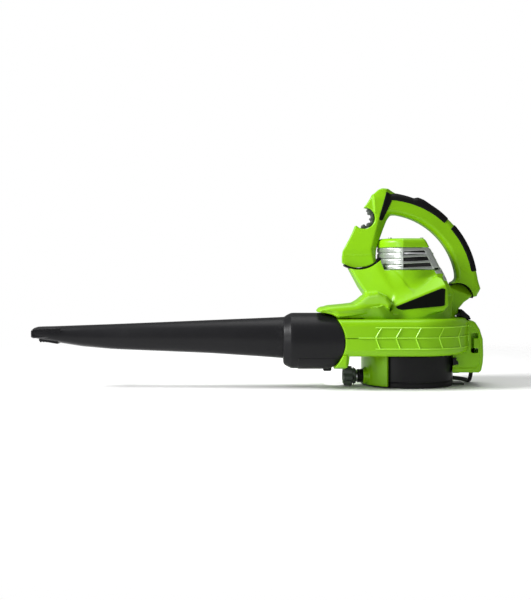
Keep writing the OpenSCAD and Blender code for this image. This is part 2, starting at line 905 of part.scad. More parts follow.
module impeller() {
    top = scroll_z1 - wall - 5;
    bottom = scroll_z0 + wall + 4;
    color(BLACK) difference() {
        union() {
            translate([0, 0, top - 3]) cylinder(r = impeller_r, h = 3);
            translate([0, 0, bottom + 8]) cylinder(r = 13, h = top - bottom - 8);
            for (i = [0 : blade_count - 1]) rotate([0, 0, 360 * i / blade_count])
                translate([12, -1, bottom]) cube([impeller_r - 13, 2, top - bottom - 1]);
        }
        translate([0, 0, bottom - 1]) cylinder(r = 34, h = 17);
        translate([0, 0, bottom]) cylinder(r = shaft_r, h = 100);
    }
}

module impeller_nut() {
    color(STEEL) translate([0, 0, scroll_z0 + wall + 14]) difference() {
        cylinder(r = 7.5, h = 6, $fn = 6);
        translate([0, 0, -1]) cylinder(r = shaft_r, h = 8);
    }
}

// ---- blowing tube -------------------------------------------------------------------------

module tube_collar() {
    color(BLACK) difference() {
        union() {
            intersection() {
                along_x(collar_x0 + 13, duct_y, tube_z) rotate([0, 0, 35])
                    cylinder(r = collar_r, h = collar_l);
                notch(0);
            }
            along_x(collar_x0, duct_y, tube_z) rotate([0, 0, 35])
                cylinder(r1 = tube_r + 5.6, r2 = collar_r, h = 13);
        }
        along_x(collar_x0 + 16, duct_y, tube_z) rotate([0, 0, 35])
            cylinder(r = collar_ri, h = collar_l);
        along_x(collar_x0 - 1, duct_y, tube_z + tube_lift) rotate([0, 0, 50])
            cylinder(r = tube_r - wall, h = 20);
        along_x(collar_x0 - 1, duct_y, tube_z + tube_lift) rotate([0, 0, 50])
            cylinder(r = tube_r, h = 11);
        translate([latch_x - 10, duct_y - 8, tube_z - collar_r - 2]) cube([60, 16, 12]);
    }
}

// Ring of points of one tube section: half height hz and half width hy
function section(x, z, hz, hy, n = 32) = [
    for (i = [0 : n - 1]) [
        x, duct_y + hy * cos(360 * i / n), z + hz * sin(360 * i / n)
    ]
];

// Closed solid through a list of sections that have the same number of points
module loft(rings) {
    n = len(rings[0]);
    last = len(rings) - 1;
    points = [for (ring = rings) for (p = ring) p];
    sides = [
        for (k = [0 : last - 1]) for (i = [0 : n - 1]) each [
            [k * n + i, k * n + (i + 1) % n, (k + 1) * n + (i + 1) % n],
            [k * n + i, (k + 1) * n + (i + 1) % n, (k + 1) * n + i]
        ]
    ];
    caps = [[for (i = [n - 1 : -1 : 0]) i], [for (i = [0 : n - 1]) last * n + i]];
    polyhedron(points = points, faces = concat(sides, caps), convexity = 4);
}

tip_blend = [0, 0.2, 0.4, 0.6, 0.8, 1];
function smooth(t) = t * t * (3 - 2 * t);
function tip_rings(inset, over) = [
    for (t = tip_blend) section(
        tube_x0 + 0.2 - (tip_l + 0.2) * t - (t == 1 ? over : 0),
        tube_z + tip_lift * (0.7 + 0.3 * t),
        tube_end_r + (mouth[0] - tube_end_r) * smooth(t) - inset,
        tube_end_r + (mouth[1] - tube_end_r) * smooth(t) - inset
    )
];
function tube_rings(inset, over) = concat(
    [section(collar_x0 + 10 + over, tube_z + tube_lift, tube_r - inset, tube_r - inset)],
    tip_rings(inset, over)
);

module blower_tube() {
    color(BLACK) difference() {
        loft(tube_rings(0, 0));
        loft(tube_rings(wall, 2));
        scraper_block();
    }
}

module scraper_block() {
    translate([tip_x0 + 12, duct_y - 20, tube_z - 1]) cube([36, 40, 6]);
}

module tip_scraper() {
    color(BLACK) scraper_block();
}

// ---- lead ---------------------------------------------------------------------------------

module strain_relief() {
    color(BLACK) translate([gland_x, 0, 0]) difference() {
        union() {
            translate([0, 0, gland_z - 2]) cylinder(r = gland_r, h = 16);
            translate([0, 0, gland_z - 26]) cylinder(r1 = cord_r + 1.5, r2 = gland_r, h = 24);
        }
        translate([0, 0, gland_z - 30]) cylinder(r = cord_r, h = 28);
    }
}

// Round tube along the points of a route, with a ring of points square to it at each
function unit(v) = v / norm(v);
function heading(pts, i) = unit(pts[min(i + 1, len(pts) - 1)] - pts[max(i - 1, 0)]);
module sweep(pts, r, n = 10) {
    sides = [
        for (i = 0, s = [1, 0, 0]; i < len(pts);
            i = i + 1, s = i < len(pts) ? unit(s - (s * heading(pts, i)) * heading(pts, i)) : s)
        s
    ];
    loft([
        for (i = [0 : len(pts) - 1])
            let (d = heading(pts, i), u = unit(sides[i] - (sides[i] * d) * d), w = cross(d, u))
            [for (k = [0 : n - 1]) pts[i] + r * (cos(360 * k / n) * u + sin(360 * k / n) * w)]
    ]);
}

module power_cord() {
    color(BLACK) sweep(cord_route, cord_r);
}

module power_plug() {
    color(BLACK) translate([plug_c.x - plug_l, plug_c.y, plug_c.z]) {
        translate([0, -13, -8]) cube([plug_l - 12, 26, 16]);
        rotate([0, 90, 0]) cylinder(r = 6.5, h = plug_l);
    }
}

module plug_pins() {
    color(STEEL) for (y = [-pin_pitch / 2, pin_pitch / 2])
        along_x(plug_c.x - plug_l - 19, plug_c.y + y, plug_c.z) cylinder(r = pin_r, h = 19);
}

fan_housing_lower();
fan_housing_upper();
motor_housing();
motor_band();
motor_cap();
badge_panels();
outlet_socket();
outlet_hood();
inlet_skirt();
rear_cover();
strap_eye();
guard_catch();
handle_half_shell(-1);  // handle_left
handle_half_shell(1);  // handle_right
skin(52, 84);  // grip_top
skin(22, 46);  // grip_rear
grip_front();
gasket_front();
gasket_rear();
trigger_pin();
power_switch();
lead_wires();
capacitor();
motor_plate();
lower_bearing();
stator();
stator_cradle();
field_coils();
brush_plate();
brush_holders();
brushes();
brush_springs();
upper_bracket();
upper_bearing();
housing_screws();
handle_screws();
cap_screws();
knob_neck();
knob_nut();
motor_shaft();
armature();
commutator();
cooling_fan();
impeller();
impeller_nut();
trigger();
trigger_spring();
guard_ring();
guard_foot();
knob_washer();
clamp_knob();
clamp_screw();
tube_collar();
blower_tube();
tip_scraper();
tube_latch();
strain_relief();
power_cord();
power_plug();
plug_pins();
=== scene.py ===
"""The visible skins, seals, fittings, finishes, lights and camera of a corded garden blower.

Shapes are worked out in millimetres, in the frame's own axes, and become meshes in metres.
"""

import json
import logging
import math
from dataclasses import dataclass, field
from enum import Enum
from typing import Callable, Optional, Sequence

import bmesh
import bpy
import numpy as np
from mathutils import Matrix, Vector


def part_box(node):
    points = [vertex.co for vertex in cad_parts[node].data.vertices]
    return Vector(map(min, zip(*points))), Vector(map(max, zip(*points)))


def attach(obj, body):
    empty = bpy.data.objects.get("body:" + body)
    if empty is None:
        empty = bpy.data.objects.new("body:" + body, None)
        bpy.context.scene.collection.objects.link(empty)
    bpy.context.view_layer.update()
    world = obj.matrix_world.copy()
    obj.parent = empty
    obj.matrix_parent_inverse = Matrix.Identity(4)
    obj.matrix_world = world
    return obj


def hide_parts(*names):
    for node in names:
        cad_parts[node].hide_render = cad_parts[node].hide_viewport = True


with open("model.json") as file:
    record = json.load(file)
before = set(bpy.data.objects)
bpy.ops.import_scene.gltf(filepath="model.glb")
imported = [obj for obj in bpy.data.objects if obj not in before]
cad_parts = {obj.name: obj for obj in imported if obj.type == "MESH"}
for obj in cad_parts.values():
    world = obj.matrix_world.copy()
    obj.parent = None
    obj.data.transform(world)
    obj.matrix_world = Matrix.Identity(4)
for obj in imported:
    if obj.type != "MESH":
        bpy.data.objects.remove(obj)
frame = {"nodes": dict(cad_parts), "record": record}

logging.basicConfig(level=logging.INFO, format="%(name)s: %(message)s")
LOG = logging.getLogger("blower")
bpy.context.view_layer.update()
MM = 0.001

Array = np.ndarray
Distance = Callable[[Array, Array, Array], Array]
Plane = Callable[[Array, Array], Array]
Point = tuple[float, float]
Place = tuple[float, float, float]
Colour = tuple[float, float, float]


# ---- solids as distances --------------------------------------------------------------------


class Axis(Enum):
    """The direction that a round shape is turned about."""

    X = 0
    Y = 1
    Z = 2


def soft_min(a: Array, b: Array, blend: float) -> Array:
    """Gives the lower of two distances, with a round blend where they are close.

    Args:
        a: the first distances.
        b: the second distances.
        blend: the width of the blend, 0 for none.

    Returns:
        The joined distances.
    """
    if blend <= 0:
        return np.minimum(a, b)
    near = np.maximum(blend - np.abs(a - b), 0) / blend
    return np.minimum(a, b) - near * near * blend / 4


@dataclass(frozen=True)
class Shape:
    """A solid given by its signed distance, which is negative inside."""

    distance: Distance

    def join(self, other: "Shape", blend: float = 0) -> "Shape":
        """Adds another solid, blended in."""
        return Shape(lambda x, y, z: soft_min(self.distance(x, y, z), other.distance(x, y, z), blend))

    def cut(self, other: "Shape", blend: float = 0) -> "Shape":
        """Takes another solid away, its edge rounded by the blend."""
        return Shape(lambda x, y, z: -soft_min(-self.distance(x, y, z), other.distance(x, y, z), blend))

    def keep(self, other: "Shape", blend: float = 0) -> "Shape":
        """Keeps what lies in another solid too."""
        return Shape(lambda x, y, z: -soft_min(-self.distance(x, y, z), -other.distance(x, y, z), blend))

    def grow(self, by: float) -> "Shape":
        """Moves the whole surface out."""
        return Shape(lambda x, y, z: self.distance(x, y, z) - by)

    def both_sides(self) -> "Shape":
        """Repeats what lies at negative Y on the other side."""
        return Shape(lambda x, y, z: self.distance(x, -np.abs(y), z))


def outline_field(points: Sequence[Point]) -> Plane:
    """Makes the signed distance to a closed outline.

    Args:
        points: the outline's corners in order.

    Returns:
        A function of the two drawing coordinates.
    """
    corners = [(float(a), float(b)) for a, b in points]

    def distance(u: Array, v: Array) -> Array:
        """Gives the distance at the drawing coordinates u and v."""
        best = np.inf
        inside = np.zeros(np.broadcast(u, v).shape, bool)
        for (au, av), (bu, bv) in zip(corners, corners[1:] + corners[:1]):
            eu, ev = bu - au, bv - av
            if not (eu or ev):
                continue
            along = np.clip(((u - au) * eu + (v - av) * ev) / (eu * eu + ev * ev), 0, 1)
            best = np.minimum(best, (u - au - eu * along) ** 2 + (v - av - ev * along) ** 2)
            if ev:
                crossed = ((av <= v) != (bv <= v)) & (u < au + (v - av) * eu / ev)
                inside = inside ^ crossed
        return np.where(inside, -1, 1) * np.sqrt(best)

    return distance


def rounded(side: Array, end: Array, edge: float) -> Array:
    """Joins the distance to a side and to an end so that their edge is round."""
    a, b = side + edge, end + edge
    return np.minimum(np.maximum(a, b), 0) + np.hypot(np.maximum(a, 0), np.maximum(b, 0)) - edge


def slab(points: Sequence[Point], y0: float, y1: float, edge: float = 1) -> Shape:
    """Gives an outline in X and Z a thickness along Y, with round edges."""
    drawing = outline_field(points)
    middle, half = (y0 + y1) / 2, abs(y1 - y0) / 2
    return Shape(lambda x, y, z: rounded(drawing(x, z), np.abs(y - middle) - half, edge))


def upright(points: Sequence[Point], z0: float, z1: float, edge: float = 1) -> Shape:
    """Gives an outline in X and Y a height along Z, with round edges."""
    drawing = outline_field(points)
    middle, half = (z0 + z1) / 2, abs(z1 - z0) / 2
    return Shape(lambda x, y, z: rounded(drawing(x, y), np.abs(z - middle) - half, edge))


def radial(axis: Axis, centre: Place, x: Array, y: Array, z: Array) -> tuple[Array, Array]:
    """Splits a place into its distance from an axis and its place along it."""
    parts = [x - centre[0], y - centre[1], z - centre[2]]
    along = parts.pop(axis.value)
    return np.hypot(parts[0], parts[1]), along


def rod(axis: Axis, centre: Place, radius: float, half: float, edge: float = 1) -> Shape:
    """Makes a cylinder with round ends."""

    def distance(x: Array, y: Array, z: Array) -> Array:
        """Gives the distance to the cylinder."""
        out, along = radial(axis, centre, x, y, z)
        return rounded(out - radius, np.abs(along) - half, edge)

    return Shape(distance)


def lathe(axis: Axis, centre: Place, points: Sequence[Point]) -> Shape:
    """Turns an outline, given as radius and place along the axis, about that axis."""
    drawing = outline_field(points)

    def distance(x: Array, y: Array, z: Array) -> Array:
        """Gives the distance to the turned solid."""
        out, along = radial(axis, centre, x, y, z)
        return drawing(out, along)

    return Shape(distance)


def below(normal: Place, point: Place) -> Shape:
    """Makes the half of space that lies behind a plane."""
    n = Vector(normal).normalized()
    return Shape(
        lambda x, y, z: (x - point[0]) * n.x + (y - point[1]) * n.y + (z - point[2]) * n.z
    )


def arc(centre: Point, radius: float, start: float, end: float, steps: int) -> list[Point]:
    """Gives the points of an arc between two angles in degrees."""
    return [
        (centre[0] + radius * math.cos(math.radians(a)), centre[1] + radius * math.sin(math.radians(a)))
        for a in np.linspace(start, end, steps + 1)
    ]


# ---- meshes ---------------------------------------------------------------------------------


def surface_net(shape: Shape, low: Place, high: Place, step: float) -> tuple[Array, Array]:
    """Finds the surface of a solid on a grid.

    Args:
        shape: the solid.
        low: the lowest corner of the space that holds it.
        high: the highest corner.
        step: the grid's spacing.

    Returns:
        The points and the four-sided faces.
    """
    ticks = [np.arange(a - 2 * step, b + 3 * step, step) for a, b in zip(low, high)]
    grid = np.ix_(*ticks)
    size = tuple(len(t) for t in ticks)
    value = np.ascontiguousarray(np.broadcast_to(shape.distance(*grid), size), dtype=np.float32)
    for axis in range(3):
        np.moveaxis(value, axis, 0)[[0, -1]] = step
    cells, crossings, quads = [], [], []
    for axis in range(3):
        first = [slice(None)] * 3
        second = [slice(None)] * 3
        first[axis], second[axis] = slice(0, -1), slice(1, None)
        a, b = value[tuple(first)], value[tuple(second)]
        index = np.argwhere((a < 0) != (b < 0))
        start, end = a[tuple(index.T)], b[tuple(index.T)]
        where = index.astype(float)
        where[:, axis] += start / (start - end)
        ring = []
        for du, dv in ((0, 0), (1, 0), (1, 1), (0, 1)):
            cell = index.copy()
            cell[:, (axis + 1) % 3] -= du
            cell[:, (axis + 2) % 3] -= dv
            ring.append(np.ravel_multi_index(cell.T, size))
            crossings.append(where)
        cells += ring
        quad = np.stack(ring, axis=1)
        quad[start >= 0] = quad[start >= 0][:, ::-1]
        quads.append(quad)
    flat = np.concatenate(cells)
    used, inverse = np.unique(flat, return_inverse=True)
    spots = np.concatenate(crossings)
    count = np.bincount(inverse)
    points = np.stack([np.bincount(inverse, spots[:, i]) / count for i in range(3)], axis=1)
    origin = np.array([t[0] for t in ticks])
    return points * step + origin, np.searchsorted(used, np.concatenate(quads))


def settle(shape: Shape, points: Array, step: float) -> tuple[Array, Array]:
    """Moves points onto the surface and gives its slope there.

    Args:
        shape: the solid.
        points: the points to move.
        step: the grid's spacing, which limits the move.

    Returns:
        The moved points and the unit normals.
    """
    reach = 0.35
    corners = np.array([(1, -1, -1), (-1, -1, 1), (-1, 1, -1), (1, 1, 1)], float)
    normal = np.zeros_like(points)
    for _ in range(2):
        slope = np.zeros_like(points)
        level = np.zeros(len(points))
        for corner in corners:
            p = points + reach * corner
            d = shape.distance(p[:, 0], p[:, 1], p[:, 2])
            slope += d[:, None] * corner
            level += d / 4
        slope /= 4 * reach
        length = np.maximum(np.linalg.norm(slope, axis=1), 0.3)
        normal = slope / length[:, None]
        move = np.clip(level / length, -0.6 * step, 0.6 * step)
        points = points - normal * move[:, None]
    return points, normal / np.maximum(np.linalg.norm(normal, axis=1), 1e-6)[:, None]


def new_object(name: str, points: Array, faces: Sequence[Sequence[int]]) -> bpy.types.Object:
    """Makes a smooth mesh object from points in millimetres."""
    mesh = bpy.data.meshes.new(name)
    mesh.from_pydata([tuple(p) for p in np.asarray(points) * MM], [], [tuple(map(int, f)) for f in faces])
    mesh.update()
    piece = bpy.data.objects.new(name, mesh)
    bpy.context.scene.collection.objects.link(piece)
    return piece


def moulded(name: str, shape: Shape, low: Place, high: Place, step: float) -> bpy.types.Object:
    """Makes the mesh of a moulded part from its solid.

    Args:
        name: the piece's name.
        shape: the solid in millimetres.
        low: the lowest corner of the space that holds it.
        high: the highest corner.
        step: how fine the mesh is.

    Returns:
        The new object.
    """
    points, faces = surface_net(shape, low, high, step)
    points, normals = settle(shape, points, step)
    piece = new_object(name, points, faces)
    piece.data.shade_smooth()
    if len(piece.data.vertices) == len(normals):
        piece.data.normals_split_custom_set_from_vertices([tuple(n) for n in normals])
    return piece


def lofted(name: str, rings: Sequence[Array], crease: float = 40, capped: bool = True) -> bpy.types.Object:
    """Makes a mesh through rings that have the same number of points.

    Args:
        name: the piece's name.
        rings: the rings in order, in millimetres.
        crease: the angle in degrees above which an edge is sharp.
        capped: whether the ends are closed.

    Returns:
        The new object.
    """
    count, last = len(rings[0]), len(rings) - 1
    faces: list[list[int]] = []
    for k in range(last):
        for i in range(count):
            j = (i + 1) % count
            faces.append([k * count + i, k * count + j, (k + 1) * count + j, (k + 1) * count + i])
    if capped:
        faces.append(list(range(count))[::-1])
        faces.append([last * count + i for i in range(count)])
    piece = new_object(name, np.concatenate(rings), faces)
    turn_out(piece, crease)
    return piece


def turn_out(piece: bpy.types.Object, crease: float) -> None:
    """Turns a mesh's faces outward and keeps only its steep edges sharp."""
    work = bmesh.new()
    work.from_mesh(piece.data)
    bmesh.ops.recalc_face_normals(work, faces=work.faces)
    work.to_mesh(piece.data)
    work.free()
    piece.data.shade_smooth()
    piece.data.set_sharp_from_angle(angle=math.radians(crease))


def swept(name: str, path: Array, out: Array, up: Array, section: Sequence[Point]) -> bpy.types.Object:
    """Sweeps a small section along a path.

    Args:
        name: the piece's name.
        path: the path's points.
        out: the section's first direction at each point.
        up: the section's second direction at each point.
        section: the section's corners.

    Returns:
        The new object.
    """
    rings = [p + np.outer([s[0] for s in section], o) + np.outer([s[1] for s in section], u)
             for p, o, u in zip(path, out, up)]
    return lofted(name, rings, crease=30)


def joined(name: str, parts: Sequence[bpy.types.Object]) -> bpy.types.Object:
    """Joins several meshes in one piece."""
    work = bmesh.new()
    for part in parts:
        work.from_mesh(part.data)
    mesh = bpy.data.meshes.new(name)
    work.to_mesh(mesh)
    work.free()
    for part in parts:
        bpy.data.meshes.remove(part.data)
    piece = bpy.data.objects.new(name, mesh)
    bpy.context.scene.collection.objects.link(piece)
    turn_out(piece, 32)
    return piece


# ---- finishes -------------------------------------------------------------------------------


class Net:
    """The nodes of one material."""

    def __init__(self, name: str) -> None:
        """Starts an empty material with that name."""
        self.material = bpy.data.materials.new(name)
        self.material.use_nodes = True
        self.tree = self.material.node_tree
        self.shader = self.tree.nodes["Principled BSDF"]

    def node(self, kind: str, settings: Optional[dict] = None, **inputs: object) -> bpy.types.Node:
        """Adds a node.

        Args:
            kind: the node's type.
            settings: the settings to make first.
            inputs: values or links by socket name, with _ for a space, or i0, i1 by number.

        Returns:
            The new node.
        """
        node = self.tree.nodes.new(kind)
        for key, value in (settings or {}).items():
            setattr(node, key, value)
        for key, value in inputs.items():
            by_number = len(key) == 2 and key[0] == "i" and key[1].isdigit()
            socket = node.inputs[int(key[1])] if by_number else node.inputs[key.replace("_", " ")]
            self.feed(socket, value)
        return node

    def feed(self, socket: bpy.types.NodeSocket, value: object) -> None:
        """Links a value to a socket or sets it there."""
        if isinstance(value, Value):
            self.tree.links.new(value.socket, socket)
        elif isinstance(value, tuple) and len(value) == 3 and socket.type == "RGBA":
            socket.default_value = (*value, 1)
        else:
            socket.default_value = value

    def place(self) -> "Value":
        """Gives the place on the object, in metres."""
        return Value(self, self.node("ShaderNodeTexCoord").outputs["Object"])

    def noise(self, where: "Value", scale: float, detail: float = 2, rough: float = 0.5) -> "Value":
        """Gives a soft random pattern from 0 to 1."""
        node = self.node("ShaderNodeTexNoise", Vector=where, Scale=scale, Detail=detail, Roughness=rough)
        return Value(self, node.outputs["Fac"])

    def cells(self, where: "Value", scale: float) -> "Value":
        """Gives the distance to the middle of the nearest random cell."""
        node = self.node("ShaderNodeTexVoronoi", Vector=where, Scale=scale)
        return Value(self, node.outputs["Distance"])

    def stretched(self, where: "Value", scale: Place) -> "Value":
        """Scales a place differently along each axis."""
        node = self.node("ShaderNodeVectorMath", {"operation": "MULTIPLY"}, i0=where, i1=scale)
        return Value(self, node.outputs[0])

    def edges(self) -> "Value":
        """Gives 1 on outward edges and 0 elsewhere."""
        worn = Value(self, self.node("ShaderNodeNewGeometry").outputs["Pointiness"])
        return worn.between(0.505, 0.54)

    def blend(self, how: "Value", first: object, second: object) -> "Value":
        """Goes from one colour to another."""
        node = self.node("ShaderNodeMix", {"data_type": "RGBA"})
        self.feed(node.inputs[0], how)
        self.feed(node.inputs[6], first)
        self.feed(node.inputs[7], second)
        return Value(self, node.outputs[2])

    def bump(self, height: "Value", distance: float, strength: float) -> "Value":
        """Turns heights into a surface slope."""
        node = self.node("ShaderNodeBump", Height=height, Distance=distance, Strength=strength)
        return Value(self, node.outputs["Normal"])


@dataclass(frozen=True)
class Value:
    """A number that varies over the surface, with the usual arithmetic."""

    net: Net
    socket: bpy.types.NodeSocket

    def math(self, operation: str, *others: object, swap: bool = False) -> "Value":
        """Adds one Math node on this value and the others."""
        terms = [self, *others]
        if swap:
            terms.reverse()
        node = self.net.node("ShaderNodeMath", {"operation": operation},
                             **{f"i{i}": t for i, t in enumerate(terms)})
        return Value(self.net, node.outputs[0])

    def __add__(self, other: object) -> "Value":
        """Adds."""
        return self.math("ADD", other)

    def __sub__(self, other: object) -> "Value":
        """Subtracts."""
        return self.math("SUBTRACT", other)

    def __rsub__(self, other: object) -> "Value":
        """Subtracts this value from a number."""
        return self.math("SUBTRACT", other, swap=True)

    def __mul__(self, other: object) -> "Value":
        """Multiplies."""
        return self.math("MULTIPLY", other)

    __radd__ = __add__
    __rmul__ = __mul__

    def between(self, low: float, high: float) -> "Value":
        """Goes from 0 at low to 1 at high."""
        node = self.net.node("ShaderNodeMapRange", {"interpolation_type": "SMOOTHSTEP"},
                             Value=self, From_Min=low, From_Max=high)
        return Value(self.net, node.outputs[0])


class Grain(Enum):
    """How a surface is textured."""

    FINE = "fine"
    PEBBLED = "pebbled"
    BRUSHED = "brushed"
    WOUND = "wound"
    CAST = "cast"


@dataclass(frozen=True)
class Finish:
    """One finish: its colour, gloss, grain and wear, and its slot where the name isn't the slot's."""

    name: str
    colour: Colour
    roughness: float
    grain: Grain = Grain.FINE
    scale: float = 1400
    depth: float = 0.00005
    metallic: float = 0.0
    coat: float = 0.0
    cloud: float = 0.06
    wear: float = 0.25
    specular: float = 0.5
    slot: str = ""

    def height(self, net: Net, where: Value) -> Value:
        """Gives the surface's own relief.

        Args:
            net: the material's nodes.
            where: the place on the object.

        Returns:
            A height from 0 to 1.
        """
        if self.grain is Grain.PEBBLED:
            return net.cells(where, self.scale)
        if self.grain is Grain.BRUSHED:
            return net.noise(net.stretched(where, (0.06, 1.0, 1.0)), self.scale, 3, 0.6)
        if self.grain is Grain.WOUND:
            return net.noise(net.stretched(where, (0.1, 0.1, 1.0)), self.scale, 1, 0.4)
        if self.grain is Grain.CAST:
            return net.noise(where, self.scale, 5, 0.7)
        return net.noise(where, self.scale, 2, 0.5)

    def material(self) -> bpy.types.Material:
        """Gives the finish's material, made once."""
        name = f"{self.name}_finish"
        known = bpy.data.materials.get(name)
        if known:
            return known
        net = Net(name)
        where = net.place()
        relief = self.height(net, where)
        cloud = net.noise(where, 11, 3, 0.55)
        dark = tuple(c * (1 - self.cloud) for c in self.colour)
        light = tuple(min(c * (1 + self.cloud), 1.0) for c in self.colour)
        tone = net.blend(cloud.between(0.3, 0.7), dark, light)
        rubbed = net.edges() * net.noise(where, 160, 4, 0.6).between(0.45, 0.62) * self.wear
        pale = tuple(0.7 * c + 0.3 * (0.25 + sum(self.colour) / 4) for c in self.colour)
        shader = net.shader
        net.feed(shader.inputs["Base Color"], net.blend(rubbed, tone, pale))
        streak = net.noise(net.stretched(where, (1.0, 1.0, 0.35)), 60, 3, 0.6)
        rough = self.roughness + (relief - 0.5) * 0.10 + (streak - 0.5) * 0.14 + rubbed * 0.15
        net.feed(shader.inputs["Roughness"], rough.math("MAXIMUM", 0.05))
        net.feed(shader.inputs["Metallic"], self.metallic)
        net.feed(shader.inputs["Specular IOR Level"], self.specular)
        net.feed(shader.inputs["Coat Weight"], self.coat)
        net.feed(shader.inputs["Coat Roughness"], 0.12)
        net.feed(shader.inputs["Normal"], net.bump(relief, self.depth, 0.5))
        return net.material


class Finishes:
    """Every finish on the blower, with a lighter green that paints highlight on the ribs and a near-black that
    paints the shade behind the band's slots.
    """

    shell = Finish("green_shell", (0.185, 0.43, 0.002), 0.32, scale=2200, depth=0.00002, cloud=0.03,
                   wear=0.04, specular=0.25)
    # Painted highlight: the rails and chevrons are the same green plastic as the shell, given a lighter green
    # that stands in for the light catching them.
    painted_highlight_ribs = Finish("green_rib_painted_highlight", (0.32, 0.66, 0.02), 0.30, scale=2200, depth=0.00002, cloud=0.03,
                    wear=0.05, slot="green_shell")
    silver = Finish("silver_shell", (0.42, 0.45, 0.42), 0.30, scale=1800, depth=0.000005,
                    metallic=0.75, wear=0.03)
    grey = Finish("grey_plastic", (0.055, 0.066, 0.056), 0.36, scale=1600, wear=0.08, specular=0.3)
    black = Finish("black_plastic", (0.009, 0.009, 0.010), 0.36, scale=1500, depth=0.00006,
                   wear=0.08, specular=0.12)
    gloss_black = Finish("gloss_black_plastic", (0.004, 0.004, 0.005), 0.18, coat=0.3, scale=900,
                         specular=0.3, slot="black_plastic")
    grip = Finish("soft_grip", (0.005, 0.005, 0.005), 0.58, Grain.PEBBLED, scale=900, depth=0.0001,
                  wear=0.1, specular=0.1)
    badge = Finish("badge_gloss", (0.003, 0.004, 0.0025), 0.3, scale=1200, wear=0.03, specular=0.08)
    # Painted shade: a near-black matte finish for the sheet behind the band's slots, standing in for the shade
    # inside them.
    painted_slot_shade = Finish("slot_shadow", (0.006, 0.006, 0.006), 0.8, scale=800, slot="black_plastic")
    cord = Finish("cord_rubber", (0.006, 0.006, 0.0065), 0.5, scale=2600, specular=0.25)
    steel = Finish("steel", (0.5, 0.5, 0.52), 0.28, Grain.BRUSHED, scale=900, metallic=1.0)
    aluminium = Finish("aluminium", (0.72, 0.73, 0.75), 0.45, Grain.CAST, scale=700, metallic=1.0)
    copper = Finish("copper", (0.62, 0.3, 0.16), 0.32, Grain.WOUND, depth=0.0003, metallic=1.0)
    brass = Finish("brass", (0.7, 0.55, 0.25), 0.3, Grain.BRUSHED, scale=900, metallic=1.0)
    carbon = Finish("carbon", (0.03, 0.03, 0.03), 0.7, Grain.CAST, scale=1600)
    film = Finish("cap_film", (0.6, 0.5, 0.2), 0.4, scale=1200)


SLOT_FINISHES = {finish.name: finish for finish in vars(Finishes).values() if isinstance(finish, Finish)}


def dress(piece: bpy.types.Object, finish: Finish, *nodes: str, body: str = "housing") -> None:
    """Gives a piece its finish, its body and the CAD nodes that it stands for.

    Args:
        piece: the piece.
        finish: its finish.
        nodes: the CAD nodes that it replaces.
        body: the body that it moves with.
    """
    piece.data.materials.clear()
    piece.data.materials.append(finish.material())
    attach(piece, body)
    if nodes:
        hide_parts(*nodes)
    LOG.info("%s: %d faces on %s", piece.name, len(piece.data.polygons), body)


# ---- shared places --------------------------------------------------------------------------


@dataclass(frozen=True)
class Layout:
    """The main places, read from the frame and given in millimetres."""

    collar: tuple[Array, Array] = field(default_factory=lambda: node_box("tube_collar"))
    guard: tuple[Array, Array] = field(default_factory=lambda: node_box("guard_ring"))
    lower: tuple[Array, Array] = field(default_factory=lambda: node_box("fan_housing_lower"))
    upper: tuple[Array, Array] = field(default_factory=lambda: node_box("fan_housing_upper"))
    band: tuple[Array, Array] = field(default_factory=lambda: node_box("motor_band"))
    cap: tuple[Array, Array] = field(default_factory=lambda: node_box("motor_cap"))

    @property
    def duct_y(self) -> float:
        """The outlet axis's place along Y."""
        return float((self.collar[0][1] + self.collar[1][1]) / 2)

    @property
    def tube_z(self) -> float:
        """The outlet axis's height."""
        return float(self.collar[1][2] - self.collar_r)

    @property
    def collar_r(self) -> float:
        """The collar's outside radius."""
        return float((self.collar[1][1] - self.collar[0][1]) / 2)

    @property
    def split_z(self) -> float:
        """The height at which the fan housing's halves meet."""
        return float(self.upper[0][2])


def node_box(node: str) -> tuple[Array, Array]:
    """Gives a node's lowest and highest corners in millimetres."""
    low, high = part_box(node)
    return np.array(low) / MM, np.array(high) / MM


LAYOUT = Layout()
FRONT_SEAL = (-103, 0, 285)
REAR_SEAL = (94.5, 0, 172.5)


# ---- camera, light and floor ----------------------------------------------------------------


